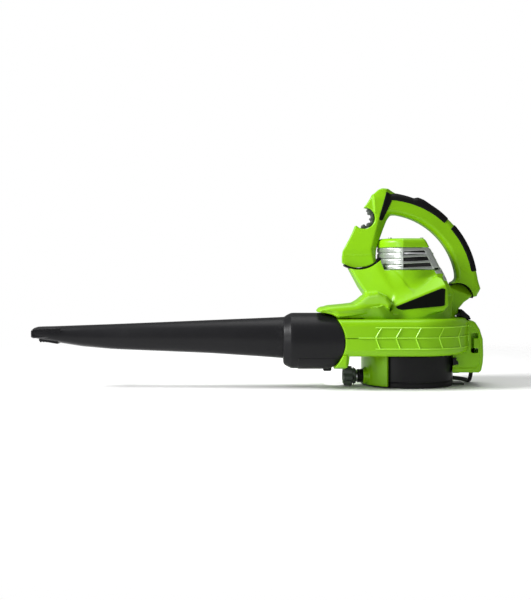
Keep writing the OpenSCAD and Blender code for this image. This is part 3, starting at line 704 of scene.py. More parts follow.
@dataclass
class Studio:
    """The camera, the lights and the floor."""

    eye: Place = (-0.287, -2.0, 0.228)
    lens: float = 60.0
    shift: float = -0.05
    sky: float = 0.25
    backdrop: float = 1.0

    def place_camera(self) -> None:
        """Stands the camera level, square to the blower's side."""
        data = bpy.data.cameras.new("camera")
        data.lens = self.lens
        data.shift_y = self.shift
        data.sensor_width = 36
        camera = bpy.data.objects.new("camera", data)
        camera.location = self.eye
        camera.rotation_euler = (math.pi / 2, 0, 0)
        bpy.context.scene.collection.objects.link(camera)
        bpy.context.scene.camera = camera

    def area(self, name: str, at: Place, to: Place, size: float, power: float) -> bpy.types.Object:
        """Hangs one soft square light.

        Args:
            name: the light's name.
            at: where it hangs.
            to: what it points at.
            size: its side in metres.
            power: its power in watts.

        Returns:
            The light.
        """
        data = bpy.data.lights.new(name, "AREA")
        data.size = size
        data.energy = power
        lamp = bpy.data.objects.new(name, data)
        lamp.location = at
        lamp.rotation_euler = (Vector(to) - Vector(at)).to_track_quat("-Z", "Y").to_euler()
        bpy.context.scene.collection.objects.link(lamp)
        return lamp

    def light(self) -> None:
        """Sets a pale sky and four soft lights, with colours shown as they are."""
        bpy.context.scene.view_settings.view_transform = "Standard"
        world = bpy.data.worlds.new("studio")
        world.use_nodes = True
        nodes, links = world.node_tree.nodes, world.node_tree.links
        back, seen = nodes["Background"], nodes.new("ShaderNodeBackground")
        for sheet, strength in ((back, self.sky), (seen, self.backdrop)):
            sheet.inputs["Color"].default_value = (1, 1, 1, 1)
            sheet.inputs["Strength"].default_value = strength
        mix = nodes.new("ShaderNodeMixShader")
        links.new(nodes.new("ShaderNodeLightPath").outputs["Is Camera Ray"], mix.inputs[0])
        links.new(back.outputs[0], mix.inputs[1])
        links.new(seen.outputs[0], mix.inputs[2])
        links.new(mix.outputs[0], nodes["World Output"].inputs["Surface"])
        bpy.context.scene.world = world
        middle = (-0.1, 0, 0.2)
        self.area("key", (-2.2, -0.6, 1.4), middle, 0.9, 110)
        self.area("side", (-1.7, -1.5, 0.4), middle, 0.5, 10)
        self.area("top", (-0.1, 0.2, 2.2), middle, 1.4, 24)
        fill = self.area("fill", (0.2, -2.4, 0.6), middle, 1.4, 4)
        fill.visible_glossy = False

    def lay_floor(self) -> None:
        """Lays a pale round floor that fades out at its rim."""
        middle = -150
        turns = np.radians(np.linspace(0, 360, 97)[:-1])
        rings = [np.array([(r * math.cos(a) / MM + middle, r * math.sin(a) / MM, 0) for a in turns])
                 for r in (0.02, 0.3, 0.6, 0.9, 1.2, 1.5)]
        floor = lofted("floor", rings, capped=False)
        net = Net("studio_floor")
        where = net.place()
        flat = net.stretched(where, (1.0, 1.0, 0.0))
        away = Value(net, net.node("ShaderNodeVectorMath", {"operation": "DISTANCE"}, i0=flat,
                                   i1=(middle * MM, 0.0, 0.0)).outputs["Value"])
        shader = net.shader
        net.feed(shader.inputs["Alpha"], 1 - away.between(0.45, 1.35))
        tone = net.blend(net.noise(where, 3), (0.90, 0.90, 0.90), (0.93, 0.93, 0.93))
        net.feed(shader.inputs["Base Color"], tone)
        net.feed(shader.inputs["Roughness"], 0.8)
        floor.data.materials.append(net.material)

    def build(self) -> None:
        """Sets up the camera, the lights and the floor."""
        self.place_camera()
        self.light()
        self.lay_floor()


# ---- the mains lead -------------------------------------------------------------------------


@dataclass
class MainsLead:
    """The lead with its tapered relief and its plug."""

    diameter: float = 8.0
    route: tuple[Place, ...] = (
        (124.5, 0, 74), (124.5, 0, 62), (124.5, 0, 50), (124.5, 0, 38), (124.5, 1.2, 29),
        (124.5, 4.6, 21), (124.5, 10, 14), (124.5, 17, 8.6), (124.4, 25, 5.2), (124, 34, 4.2),
        (122.5, 46, 4.2), (118.5, 59, 4.2), (111.5, 72, 4.2), (101.5, 84, 4.2),
        (89, 94, 4.2), (75, 101.5, 4.2), (60, 107, 4.2), (45, 111, 4.2), (30, 114, 4.6),
        (16, 116.8, 5.8), (4, 118, 8), (-8, 118, 8),
    )

    def line(self) -> Array:
        """Gives a smooth line through the route's points."""
        p = np.array(self.route, float)
        ends = np.vstack([2 * p[0] - p[1], p, 2 * p[-1] - p[-2]])
        out = []
        for i in range(1, len(ends) - 2):
            a, b, c, d = ends[i - 1:i + 3]
            for t in np.linspace(0, 1, 5)[:-1]:
                out.append(0.5 * (2 * b + (c - a) * t + (2 * a - 5 * b + 4 * c - d) * t * t
                                  + (3 * b - a - 3 * c + d) * t ** 3))
        return np.array(out + [p[-1]])

    def build(self) -> None:
        """Makes the lead, its relief and its plug."""
        line = self.line()
        heading = np.gradient(line, axis=0)
        heading /= np.linalg.norm(heading, axis=1)[:, None]
        side = np.tile([1.0, 0, 0], (len(line), 1))
        for i in range(len(line)):
            before = side[max(i - 1, 0)]
            side[i] = before - heading[i] * (before @ heading[i])
            side[i] /= np.linalg.norm(side[i])
        other = np.cross(heading, side)
        circle = arc((0, 0), self.diameter / 2, 0, 360, 20)[:-1]
        lead = swept("mains_lead", line, side, other, circle)
        dress(lead, Finishes.cord, "power_cord")
        plug = self.plug()
        dress(plug, Finishes.cord, "power_plug")
        dress(self.relief(), Finishes.cord, "strain_relief")

    def plug(self) -> bpy.types.Object:
        """Makes the plug: a flat body with finger grooves and a round neck."""
        x0, x1, y, z = -48.0, -8.0, 118.0, 8.0
        body = [(x0, y - 13), (x0 + 22, y - 13), (x0 + 30, y - 8), (x1, y - 6), (x1, y + 6),
                (x0 + 30, y + 8), (x0 + 22, y + 13), (x0, y + 13)]
        shape = upright(body, z - 7.9, z + 7.9, 3.0)
        for i in range(4):
            for side in (-14, 14):
                shape = shape.cut(rod(Axis.Z, (x0 + 9 + 4.5 * i, y + side, z), 1.3, 9, 0.4), 0.8)
        return moulded("lead_plug", shape, (x0, y - 13, z - 8), (x1, y + 13, z + 8), 0.8)

    def relief(self) -> bpy.types.Object:
        """Makes the tapered, ribbed strain relief."""
        x, top, foot, rings = 124.5, 90.0, 50.0, []
        turns = arc((0, 0), 1, 0, 360, 28)[:-1]
        heights = np.linspace(foot, top, 61)
        for h in heights:
            thick = np.interp(h, [foot, 74, top], [5.4, 7.3, 7.3])
            groove = 0.8 if h < 72 and int((h - foot) / 3.3) % 2 else 0.0
            rings.append(np.array([(x + (thick - groove) * c, (thick - groove) * s, h) for c, s in turns]))
        return lofted("lead_relief", rings, 35)


# ---- fan housing ----------------------------------------------------------------------------


@dataclass
class FanHousing:
    """The scroll in two halves, with its raised rails and chevrons."""

    corner: float = 13.0
    wall_y: float = -124.0
    rails: tuple[float, ...] = (79.5, 100.2, 119.5)

    def outline(self) -> list[Point]:
        """Gives the scroll seen from above, with its outlet duct."""
        x_end = -186.0
        points = [(x_end, self.wall_y), (-4.0, self.wall_y)]
        points += arc((-4, -4), 120, -90, 0, 30)[1:]
        points += arc((4, -4), 112, 0, 90, 28)
        points += arc((4, 4), 104, 90, 191, 30)
        points += [(-101.0, -16.0), (x_end, -16.0)]
        return points

    def body(self) -> Shape:
        """Gives the hollow scroll with its outlet and inlet."""
        z0, z1 = float(LAYOUT.lower[0][2]), float(LAYOUT.upper[1][2])
        scroll = upright(self.outline(), z0, z1, self.corner)
        socket = rod(Axis.Y, (-203, LAYOUT.duct_y, LAYOUT.tube_z), 67.0, 120, 0.5)
        scroll = scroll.cut(socket, 1.0)
        scroll = scroll.cut(rod(Axis.Z, (0, 0, (z0 + z1) / 2), 96, 32, 8))
        scroll = scroll.cut(rod(Axis.X, (-110, LAYOUT.duct_y, LAYOUT.tube_z), 47, 90, 2))
        return scroll.cut(rod(Axis.Z, (0, 0, z0), 58, 12, 0.5), 2.0)

    def lugs(self, z0: float, z1: float) -> Shape:
        """Gives the screw lugs on the far side of the scroll."""
        shape = None
        for angle in (42, 62, 84):
            a = math.radians(angle)
            lug = rod(Axis.Z, (117 * math.cos(a), 117 * math.sin(a), (z0 + z1) / 2), 9.5, (z1 - z0) / 2, 1.5)
            shape = lug if shape is None else shape.join(lug)
        return shape

    def along(self) -> tuple[Array, Array]:
        """Gives the line that the rails follow and its outward direction."""
        points = arc((-4, -4), 120, -90, 0, 60)
        points = [(x, self.wall_y) for x in np.linspace(-128, -6, 24)] + points
        points += arc((4, -4), 112, 1, 90, 40) + arc((4, 4), 104, 91, 180, 40)
        line = np.array([(x, y, 0.0) for x, y in points])
        heading = np.gradient(line, axis=0)
        heading /= np.linalg.norm(heading, axis=1)[:, None]
        return line, np.cross(heading, (0, 0, 1))

    def bead(self, name: str, line: Array, out: Array, up: Array, wide: float,
             proud: float) -> bpy.types.Object:
        """Makes one raised line with softened edges."""
        half, soft = wide / 2, 0.5
        section = [(-1.5, -half), (proud - soft, -half), (proud, -half + soft),
                   (proud, half - soft), (proud - soft, half), (-1.5, half)]
        return swept(name, line, out, up, section)

    def ribs(self) -> bpy.types.Object:
        """Makes the rails round the scroll and the chevrons between them."""
        line, out = self.along()
        up = np.tile([0.0, 0, 1], (len(line), 1))
        parts = []
        for i, z in enumerate(self.rails):
            start = 3 if i == 1 else 9
            raised = line[start:] + (0, 0, z)
            parts.append(self.bead(f"rail_{i}", raised, out[start:], up[start:], 2.0, 1.7))
        length = np.concatenate([[0], np.cumsum(np.linalg.norm(np.diff(line, axis=0), axis=1))])
        for at in (48.0, 86.0, 123.0, 169.0, 219.0, *np.arange(270.0, 600.0, 50.0)):
            parts.append(self.chevron(line, out, length, at))
        return joined("scroll_ribs", parts)

    def chevron(self, line: Array, out: Array, length: Array, at: float) -> bpy.types.Object:
        """Makes one chevron, at a place measured along the rails' line."""
        heights = np.linspace(self.rails[0], self.rails[2], 21)
        bend = np.interp(heights, [self.rails[0], self.rails[1], self.rails[2]], [8.0, 0.0, 11.0])
        spots = at + bend
        path = np.stack([np.interp(spots, length, line[:, i]) for i in range(3)], axis=1)
        path[:, 2] = heights
        outward = np.stack([np.interp(spots, length, out[:, i]) for i in range(3)], axis=1)
        outward /= np.linalg.norm(outward, axis=1)[:, None]
        heading = np.gradient(path, axis=0)
        heading /= np.linalg.norm(heading, axis=1)[:, None]
        return self.bead("chevron", path, outward, np.cross(heading, outward), 2.0, 1.6)

    def build(self) -> None:
        """Makes the two halves and the ribs."""
        scroll, split = self.body(), LAYOUT.split_z
        chamber = rod(Axis.Z, (0, 0, 100), 96, 31, 8)
        z0, z1 = float(LAYOUT.lower[0][2]), float(LAYOUT.upper[1][2])
        for half, up, lugs, foot, top in (("lower", 1, (split - 12, split), z0, split),
                                          ("upper", -1, (split, split + 12), split, z1)):
            shape = scroll.join(self.lugs(*lugs), 3).cut(chamber).keep(below((0, 0, up), (0, 0, split)))
            dress(moulded(f"fan_case_{half}", shape, (-170.0, -125.0, foot), (128.0, 128.0, top), 2.0),
                  Finishes.shell, f"fan_housing_{half}")
        # The rails and chevrons get the lighter green of the painted highlight.
        dress(self.ribs(), Finishes.painted_highlight_ribs)


# ---- motor housing --------------------------------------------------------------------------


@dataclass
class MotorHousing:
    """The upper body with its arms, lobes and hood, the slotted band and the cap."""

    flat_half: float = 51.5
    crease_x: float = -20.0

    def plan(self, inset: float) -> list[Point]:
        """Gives the motor seen from above: round in front, flat sided behind."""
        radius = 64.0 - inset
        turn = math.degrees(math.acos(self.crease_x / 64.0))
        front = arc((0, 0), radius, turn, 360 - turn, 44)
        half = self.flat_half - inset
        return front + [(80.0, -half), (80.0, half)]

    def slope(self, inset: float) -> Shape:
        """Gives the space in front of the sloping back."""
        return below((1, 0, 0.52), (25.0 - inset, 0, 288.0))

    def block(self, inset: float, z0: float, z1: float, edge: float) -> Shape:
        """Gives a stretch of the motor housing."""
        return upright(self.plan(inset), z0, z1, edge).keep(self.slope(inset), 5.0)

    def flare(self) -> Shape:
        """Gives the round body that narrows from the fan to the motor."""
        profile = [(0, 130), (92, 130), (90, 138), (85, 149), (79, 163), (73, 178), (67.5, 194),
                   (64, 212), (63, 228), (0, 228)]
        return lathe(Axis.Z, (0, 0, 0), profile)

    def front_arm(self) -> Shape:
        """Gives the arm that carries the handle's front seal, with a chamfered rear face."""
        outline = [(-132, 252), (-124, 236), (-116, 222), (-108, 208), (-100, 194), (-90, 180),
                   (-70, 160), (-12, 150), (-8, 186), (-26, 208), (-42, 226), (-58, 245), (-58, 262)]
        arm = slab(outline, -80, 80, 5)
        heights, places = (176.0, 212.0, 240.0, 262.0), (-34.0, -58.0, -71.0, -75.0)

        def side(x: Array, y: Array, z: Array) -> Array:
            """Gives the distance to the faces, which spread towards the body."""
            spread = 0.44 * np.maximum(0.75 * (x + 112) + 0.66 * (250 - z), 0)
            return 0.85 * (np.abs(y) - 25 - spread)

        def facet(x: Array, y: Array, z: Array) -> Array:
            """Gives the distance to the chamfer along the arm's rear."""
            return 0.8 * (side(x, y, z) + 0.22 * (x - np.interp(z, heights, places)))

        seal = rod(Axis.Y, FRONT_SEAL, 56.0, 90, 0.5)
        return arm.keep(Shape(side), 5).keep(Shape(facet), 1.0).cut(seal, 1.0)

    def rear_arm(self) -> Shape:
        """Gives the arm that carries the handle's rear seal."""
        outline = [(40, 140), (93, 140), (96, 152), (106, 164), (116, 171), (123, 178), (121, 190),
                   (110, 201), (84, 201), (74, 194), (64, 186), (40, 190)]
        ridge = below((0.25, -0.66, 0.70), (92, -21, 186)).keep(below((0.25, 0.66, 0.70), (92, 21, 186)))
        arm = slab(outline, -21, 21, 3).keep(ridge, 2)
        knuckle = rod(Axis.Y, REAR_SEAL, 28.6, 40, 0.5)
        arm = arm.keep(knuckle.join(slab([(30, 120), (99, 120), (99, 160), (80, 182), (66, 200), (30, 200)],
                                         -40, 40, 1)), 1)
        strut = slab([(52, 126), (76, 126), (80, 160), (84, 182), (72, 190), (58, 184)], -46, 46, 4)
        side = below((0.5, -0.75, 0.2), (74, -40, 160)).both_sides()
        return arm.join(strut.keep(side, 3), 4)

    def side_lobe(self) -> Shape:
        """Gives the swelling under the badge, on both sides."""
        outline = [(-46, 146), (-40, 139), (-30, 136), (20, 143), (56, 150), (64, 160), (62, 190),
                   (54, 212), (46, 216), (0, 200), (-32, 184)]
        lobe = slab(outline, -130, -30, 5)
        outer = below((0, -1, 0), (0, -86.5, 0))
        bevel = below((-0.30, -0.62, 0.72), (-38, -86.5, 160))
        return lobe.keep(outer, 3).keep(bevel, 2.5).both_sides()

    def hood(self) -> Shape:
        """Gives the roof over the outlet, which runs into the body."""
        centre = (-122.0, LAYOUT.duct_y, LAYOUT.tube_z)
        roof = rod(Axis.X, centre, 64.5, 66, 9)
        under = [(-200, 80), (-200, 150), (-176, 148.5), (-160, 145), (-150, 139.5), (-126, 142),
                 (-100, 147), (-84, 154), (-64, 158), (-52, 148), (-44, 138), (-30, 130), (-30, 80)]
        return roof.cut(slab(under, -260, 40, 1), 3)

    def shoulder(self) -> Shape:
        """Gives the swelling that carries the front arm down to the outlet."""
        outline = [(-186, 149.5), (-181, 153.5), (-166, 158.5), (-134, 161.5), (-118, 163.5), (-107, 170),
                   (-99, 177), (-90, 182), (-70, 184), (-54, 176), (-46, 162), (-52, 152), (-60, 156),
                   (-70, 158), (-84, 154), (-100, 147), (-126, 142), (-150, 139.5), (-160, 145), (-176, 148.5)]
        swell = slab(outline, -112, -6, 12)
        side = below((0.12, -0.74, 0.66), (-70, -108, 156))
        return swell.keep(side, 8)

    def plinth(self) -> Shape:
        """Gives the recessed foot of the body, under its ridge."""
        foot = FanHousing().outline()
        drawing = outline_field(foot)
        inset = Shape(lambda x, y, z: rounded(drawing(x, y) + 18 + 0.25 * (150 - z), np.abs(z - 145) - 17, 1))
        inset = inset.keep(below((-1, 0, 0), (-152, 0, 0)), 2)
        inset = inset.keep(below((0.5, -0.87, 0.05), (-62, -103, 140)), 3)
        top = [(-180, 120), (-180, 142), (-150, 142), (-126, 145), (-100, 150), (-84, 157), (-64, 160),
               (-52, 152), (-44, 142), (-30, 140), (0, 143), (0, 120)]
        return inset.keep(slab(top, -140, -20, 1))

    def upper_body(self) -> Shape:
        """Gives the whole body above the fan."""
        body = self.flare().join(self.block(0, 180, 228, 1), 6)
        body = body.join(self.front_arm(), 9)
        body = body.join(self.hood().join(self.shoulder(), 8), 7)
        body = body.join(self.plinth(), 2)
        body = body.join(self.side_lobe(), 9).join(self.rear_arm(), 5)
        sleeve = rod(Axis.X, (-160, LAYOUT.duct_y, LAYOUT.tube_z), 54.6, 60, 1)
        scroll = below((0, 0, 1), (0, 0, 133.5))
        hollow = rod(Axis.Z, (0, 0, 180), 58, 60, 4)
        seal = rod(Axis.Y, FRONT_SEAL, 56.0, 40, 0.5)
        body = body.cut(sleeve, 1).cut(scroll, 1).cut(hollow).cut(seal, 0.8)
        return body.cut(below((0, 0, -1), (0, 0, 228)).keep(rod(Axis.Z, (0, 0, 240), 72, 30)), 0.5)

    def band(self) -> Shape:
        """Gives the silver band with its rising slots."""
        z0, z1 = float(LAYOUT.band[0][2]), float(LAYOUT.band[1][2])
        band = self.block(0.4, z0 + 0.4, z1 - 0.3, 2.2)
        band = band.cut(rod(Axis.Z, (0, 0, (z0 + z1) / 2), 47, 40))
        for i in range(3):
            top = z1 - 8.5 - 12 * i
            reach = 24 + 5.5 * i
            opening = [(-19, top - 6.4), (-19, top + 0.4), (reach - 2, top + 2.8), (reach + 1.5, top - 4.0)]
            slot = slab(opening, -90, 90, 0.8)
            band = band.cut(slot.cut(rod(Axis.Z, (0, 0, 250), 50, 60)), 0.8)
            groove = lathe(Axis.Z, (0, 0, 0), [(61.6, top - 3.6), (70, top - 3.6), (70, top - 0.6),
                                               (61.6, top - 0.6)])
            band = band.cut(groove.keep(below((1, 0, 0), (-22, 0, 0))), 0.8)
        leg = self.block(-0.8, 207, z0 + 6, 1.5).cut(self.slope(15.5), 1.0)
        band = band.join(leg, 1.0)
        for z in (z0 - 1.0, z0 - 12.5):
            x = 40.0 + (z0 - z) * 0.52
            hole = slab([(x + 1, z), (x + 1, z + 5.0), (x + 12, z + 5.8), (x + 12, z + 0.8)], -90, 90, 0.8)
            band = band.cut(hole.cut(slab([(0, 190), (0, 240), (90, 240), (90, 190)], -48, 48)), 0.8)
        return band

    def slot_shade_sheet(self) -> Shape:
        """Gives the near-black sheet behind the band's slots, which paints the shade inside them."""
        z0, z1 = float(LAYOUT.band[0][2]), float(LAYOUT.band[1][2])
        return self.block(3.2, z0 + 1, z1 - 1, 1).cut(rod(Axis.Z, (0, 0, (z0 + z1) / 2), 45.5, 40))

    def cap(self) -> Shape:
        """Gives the cap with its raised crown."""
        z0, z1 = float(LAYOUT.cap[0][2]), float(LAYOUT.cap[1][2])
        crown = upright(self.plan(0.6), z0 - 20, z1, 9).keep(self.slope(0.6), 5.0)
        return crown.keep(below((0, 0, -1), (0, 0, z0)), 0.8).cut(rod(Axis.Z, (0, 0, z0 - 2), 50, 12, 1))

    def badge(self) -> bpy.types.Object:
        """Makes the blank badges on both sides."""
        outline = [(-38, 158), (-34, 153.5), (-26, 151.4), (48, 158.4), (56, 160), (57, 192), (50, 193)]
        shape = slab(outline, -88.4, -85, 0.7).both_sides()
        return moulded("side_badges", shape, (-42, -90, 148), (60, 90, 196), 1.2)

    def build(self) -> None:
        """Makes the body, the band, the cap and the badges."""
        body = moulded("upper_body", self.upper_body(), (-192, -142, 132), (124, 92, 264), 1.8)
        dress(body, Finishes.shell, "motor_housing", "outlet_hood")
        low, high = LAYOUT.band
        dress(moulded("slotted_band", self.band(), (-66, -64, 205), (76, 64, high[2]), 1.1),
              Finishes.silver, "motor_band")
        # The near-black sheet behind the slots is painted shade.
        dress(moulded("band_slot_shade", self.slot_shade_sheet(), (-66, -64, low[2]), (66, 64, high[2]), 1.5),
              Finishes.painted_slot_shade)
        low, high = LAYOUT.cap
        dress(moulded("top_cap", self.cap(), (-66, -64, low[2] - 6), (66, 64, high[2]), 1.5),
              Finishes.shell, "motor_cap")
        dress(self.badge(), Finishes.badge, "badge_panels")


# ---- handle ---------------------------------------------------------------------------------


@dataclass
class Handle:
    """The loop handle in two halves, its soft skins and its trigger."""

    centre: Point = (-50.0, 195.0)
    inner: float = 144.0
    outer: float = 184.0
    half: float = 20.5
    bite: Point = (-91.0, 331.0)
    bite_r: float = 21.0

    def ring(self, inner: float, outer: Callable[[Array], Array], half: float, corner: float) -> Shape:
        """Gives the loop's ring, its outer radius varying with the angle."""

        def distance(x: Array, y: Array, z: Array) -> Array:
            """Gives the distance to the ring."""
            u, v = x - self.centre[0], z - self.centre[1]
            out = np.hypot(u, v)
            rim = outer(np.degrees(np.arctan2(v, u)))
            middle, thick = (inner + rim) / 2, (rim - inner) / 2
            return rounded(np.abs(out - middle) - thick, np.abs(y) - half, corner)

        return Shape(distance)

    def sector(self, start: float, end: float) -> Shape:
        """Gives the space between two angles at the loop's centre."""
        a, b = math.radians(start), math.radians(end)
        at = (self.centre[0], 0, self.centre[1])
        first = below((math.sin(a), 0, -math.cos(a)), at)
        second = below((-math.sin(b), 0, math.cos(b)), at)
        return first.keep(second)

    def column(self) -> Shape:
        """Gives the front column, with the horn, the bite for the trigger finger and the rear facet."""
        outline = [(-134, 252), (-134, 256), (-132, 266), (-125, 279), (-118, 292), (-112, 305), (-107, 318),
                   (-98, 336), (-92, 352), (-89.5, 353.5), (-84, 360), (-78, 370), (-68, 382), (-62, 388),
                   (-55, 390.5), (-44, 389.5), (-28, 380), (-10, 372), (-10, 342), (-38, 338), (-46, 326),
                   (-54, 306), (-62, 284), (-67, 268), (-68, 252), (-66, 236), (-134, 230)]
        column = slab(outline, -22, 22, 7)
        heights = (240.0, 268.0, 300.0, 346.0, 372.0)
        places = (-72.0, -78.0, -70.0, -58.0, -48.0)
        facet = Shape(lambda x, y, z: 0.76 * (np.abs(y) - 22 + 0.8 * (x - np.interp(z, heights, places))))
        front = Shape(lambda x, y, z: 0.97 * (np.abs(y) - 22 - 0.2 * (x - np.interp(z, heights, places))))
        return column.keep(facet, 2.0).keep(front, 1.0)

    def shell(self) -> Shape:
        """Gives the whole handle without its seals."""
        loop = self.ring(self.inner, lambda a: np.full_like(a, self.outer), self.half, 11)
        loop = loop.keep(self.sector(-6, 97))
        heel = slab([(82, 188), (82, 203), (88, 206), (94, 212), (97, 232), (129, 226), (134, 208),
                     (140, 191), (136, 184), (122, 172)], -self.half, self.half, 7)
        handle = loop.join(self.column(), 7).join(heel, 6)
        bite = rod(Axis.Y, (self.bite[0], 0, self.bite[1]), self.bite_r, 60, 0.5)
        handle = handle.cut(bite, 2.5)
        below_seal = slab([(-170, 190), (-170, 262), (-30, 262), (-30, 190)], -60, 60, 0.1)
        socket = rod(Axis.Y, FRONT_SEAL, 53.0, 60, 0.5)
        handle = handle.cut(below_seal.cut(socket), 1.0)
        handle = handle.cut(rod(Axis.Y, REAR_SEAL, 29.8, 60, 0.5), 0.6)
        lip = slab([(-136, 258), (-130, 256.5), (-68, 256.5), (-66, 258)], -60, 60, 0.5)
        return handle.cut(lip.keep(handle.grow(1.5).cut(handle.grow(-0.7))), 0.6)

    def rim(self, angle: Array) -> Array:
        """Gives the top skin's outer radius at an angle, with its thumb swell."""
        return np.interp(angle, [8, 10, 40, 46, 53, 60.6, 66, 69.5, 71.8, 83, 87],
                         [184.6, 185.4, 185.6, 185.2, 186.4, 187.4, 189.6, 189.4, 185.2, 186.6, 185.2])

    def skin(self, start: float, end: float, inner: float) -> Shape:
        """Gives a soft skin over the outside of the loop."""
        skin = self.ring(150.0, self.rim, self.half + 1.0, 11.5)
        inside = self.ring(140.0, lambda a: np.full_like(a, self.outer - 2), self.half - 2, 9)
        floor = self.ring(inner, lambda a: np.full_like(a, 220.0), 80, 1)
        return skin.cut(inside).keep(floor, 1.2).keep(self.sector(start, end), 1.2)

    def leg(self) -> Shape:
        """Gives the soft strips that run down behind the horn."""
        outline = [(-48, 383), (-62, 332), (-61.5, 327), (-58, 325.5), (-54, 327), (-37, 364), (-36, 378)]
        handle = self.shell()
        strip = handle.grow(0.9).cut(handle.grow(-1.5))
        return strip.keep(slab(outline, -60, 60, 1.5), 1.0)

    def trigger(self) -> Shape:
        """Gives the trigger: a curved face with four finger ribs."""
        x, z = self.bite
        face = rod(Axis.Y, (x, 0, z), 20.4, 12.8, 1.5).cut(rod(Axis.Y, (x, 0, z), 15.6, 40, 0.5), 1)
        face = face.keep(slab([(x - 14, z - 60), (x - 2, z - 6), (x + 4, z + 10), (x + 16, z + 40),
                               (x + 70, z + 40),
                               (x + 70, z - 60)], -30, 30, 1))
        root = slab([(-80, 346), (-72, 338), (-59, 366), (-66, 373)], -12.5, 12.5, 2)
        shape = face.join(root, 2)
        for angle in (42, -4, -50, -92):
            a = math.radians(angle)
            rib = rod(Axis.Y, (x + 15.2 * math.cos(a), 0, z + 15.2 * math.sin(a)), 3.0, 13.4, 1.4)
            shape = shape.join(rib, 1.5)
        return shape

    def cavity(self) -> Shape:
        """Gives the room in which the trigger swings."""
        x, z = self.bite
        swing = rod(Axis.Y, (x, 0, z), 29, 14.0, 1)
        face = [(x - 7, z - 32), (x - 7, z - 5), (x + 11, z + 15), (x + 19, z + 21), (x + 31, z + 21),
                (x + 33, z - 32)]
        root = slab([(-84, 347), (-72, 332), (-55, 366), (-65, 377.5)], -13.5, 13.5, 1)
        return swing.keep(slab(face, -40, 40, 0.5)).join(root)

    def screws(self) -> bpy.types.Object:
        """Makes the recessed screws that close the shells on the far side."""
        parts = []
        places = [(-108, 282), (-88, 300), (-52, 360), (101, 212)]
        places += [(self.centre[0] + 158 * math.cos(a), self.centre[1] + 158 * math.sin(a))
                   for a in (0.5, 0.95)]
        turns = arc((0, 0), 1, 0, 360, 24)[:-1]
        for x, z in places:
            rings = [np.array([(x + r * c, y, z + r * s) for c, s in turns])
                     for y, r in ((-12, 1.8), (18.6, 1.8), (18.6, 3.4), (20.6, 3.4), (21.2, 2.8),
                                  (21.2, 1.6), (19.9, 1.5))]
            parts.append(lofted("screw", rings, 30))
        return joined("shell_screws", parts)

    def build(self) -> None:
        """Makes the shells, the skins and the trigger."""
        dress(self.screws(), Finishes.steel, "handle_screws")
        shell = self.shell().cut(self.cavity())
        low, high = (-136.0, -23.0, 168.0), (142.0, 23.0, 392.0)
        for name, side, node in (("handle_near", 1, "handle_left"), ("handle_far", -1, "handle_right")):
            half = shell.keep(below((0, side, 0), (0, -0.12 * side, 0)), 0.5)
            y0, y1 = (low[1], 0.0) if side > 0 else (0.0, high[1])
            dress(moulded(name, half, (low[0], y0, low[2]), (high[0], y1, high[2]), 1.5),
                  Finishes.shell, node)
        for name, skin, low, high, step in (
                ("top", self.skin(47, 86.5, 171.5), (-40, -22, 318), (80, 22, 386), 1.3),
                ("rear", self.skin(9.5, 41.5, 172.5), (80, -22, 222), (140, 22, 322), 1.3),
                ("front", self.leg(), (-64, -24, 324), (-34, 24, 386), 1.1)):
            dress(moulded(f"skin_{name}", skin, low, high, step), Finishes.grip, f"grip_{name}")
        dress(moulded("finger_trigger", self.trigger(), (-114, -14, 308), (-56, 14, 376), 0.9),
              Finishes.grey, "trigger", body="trigger_lever")


# ---- blowing tube ---------------------------------------------------------------------------


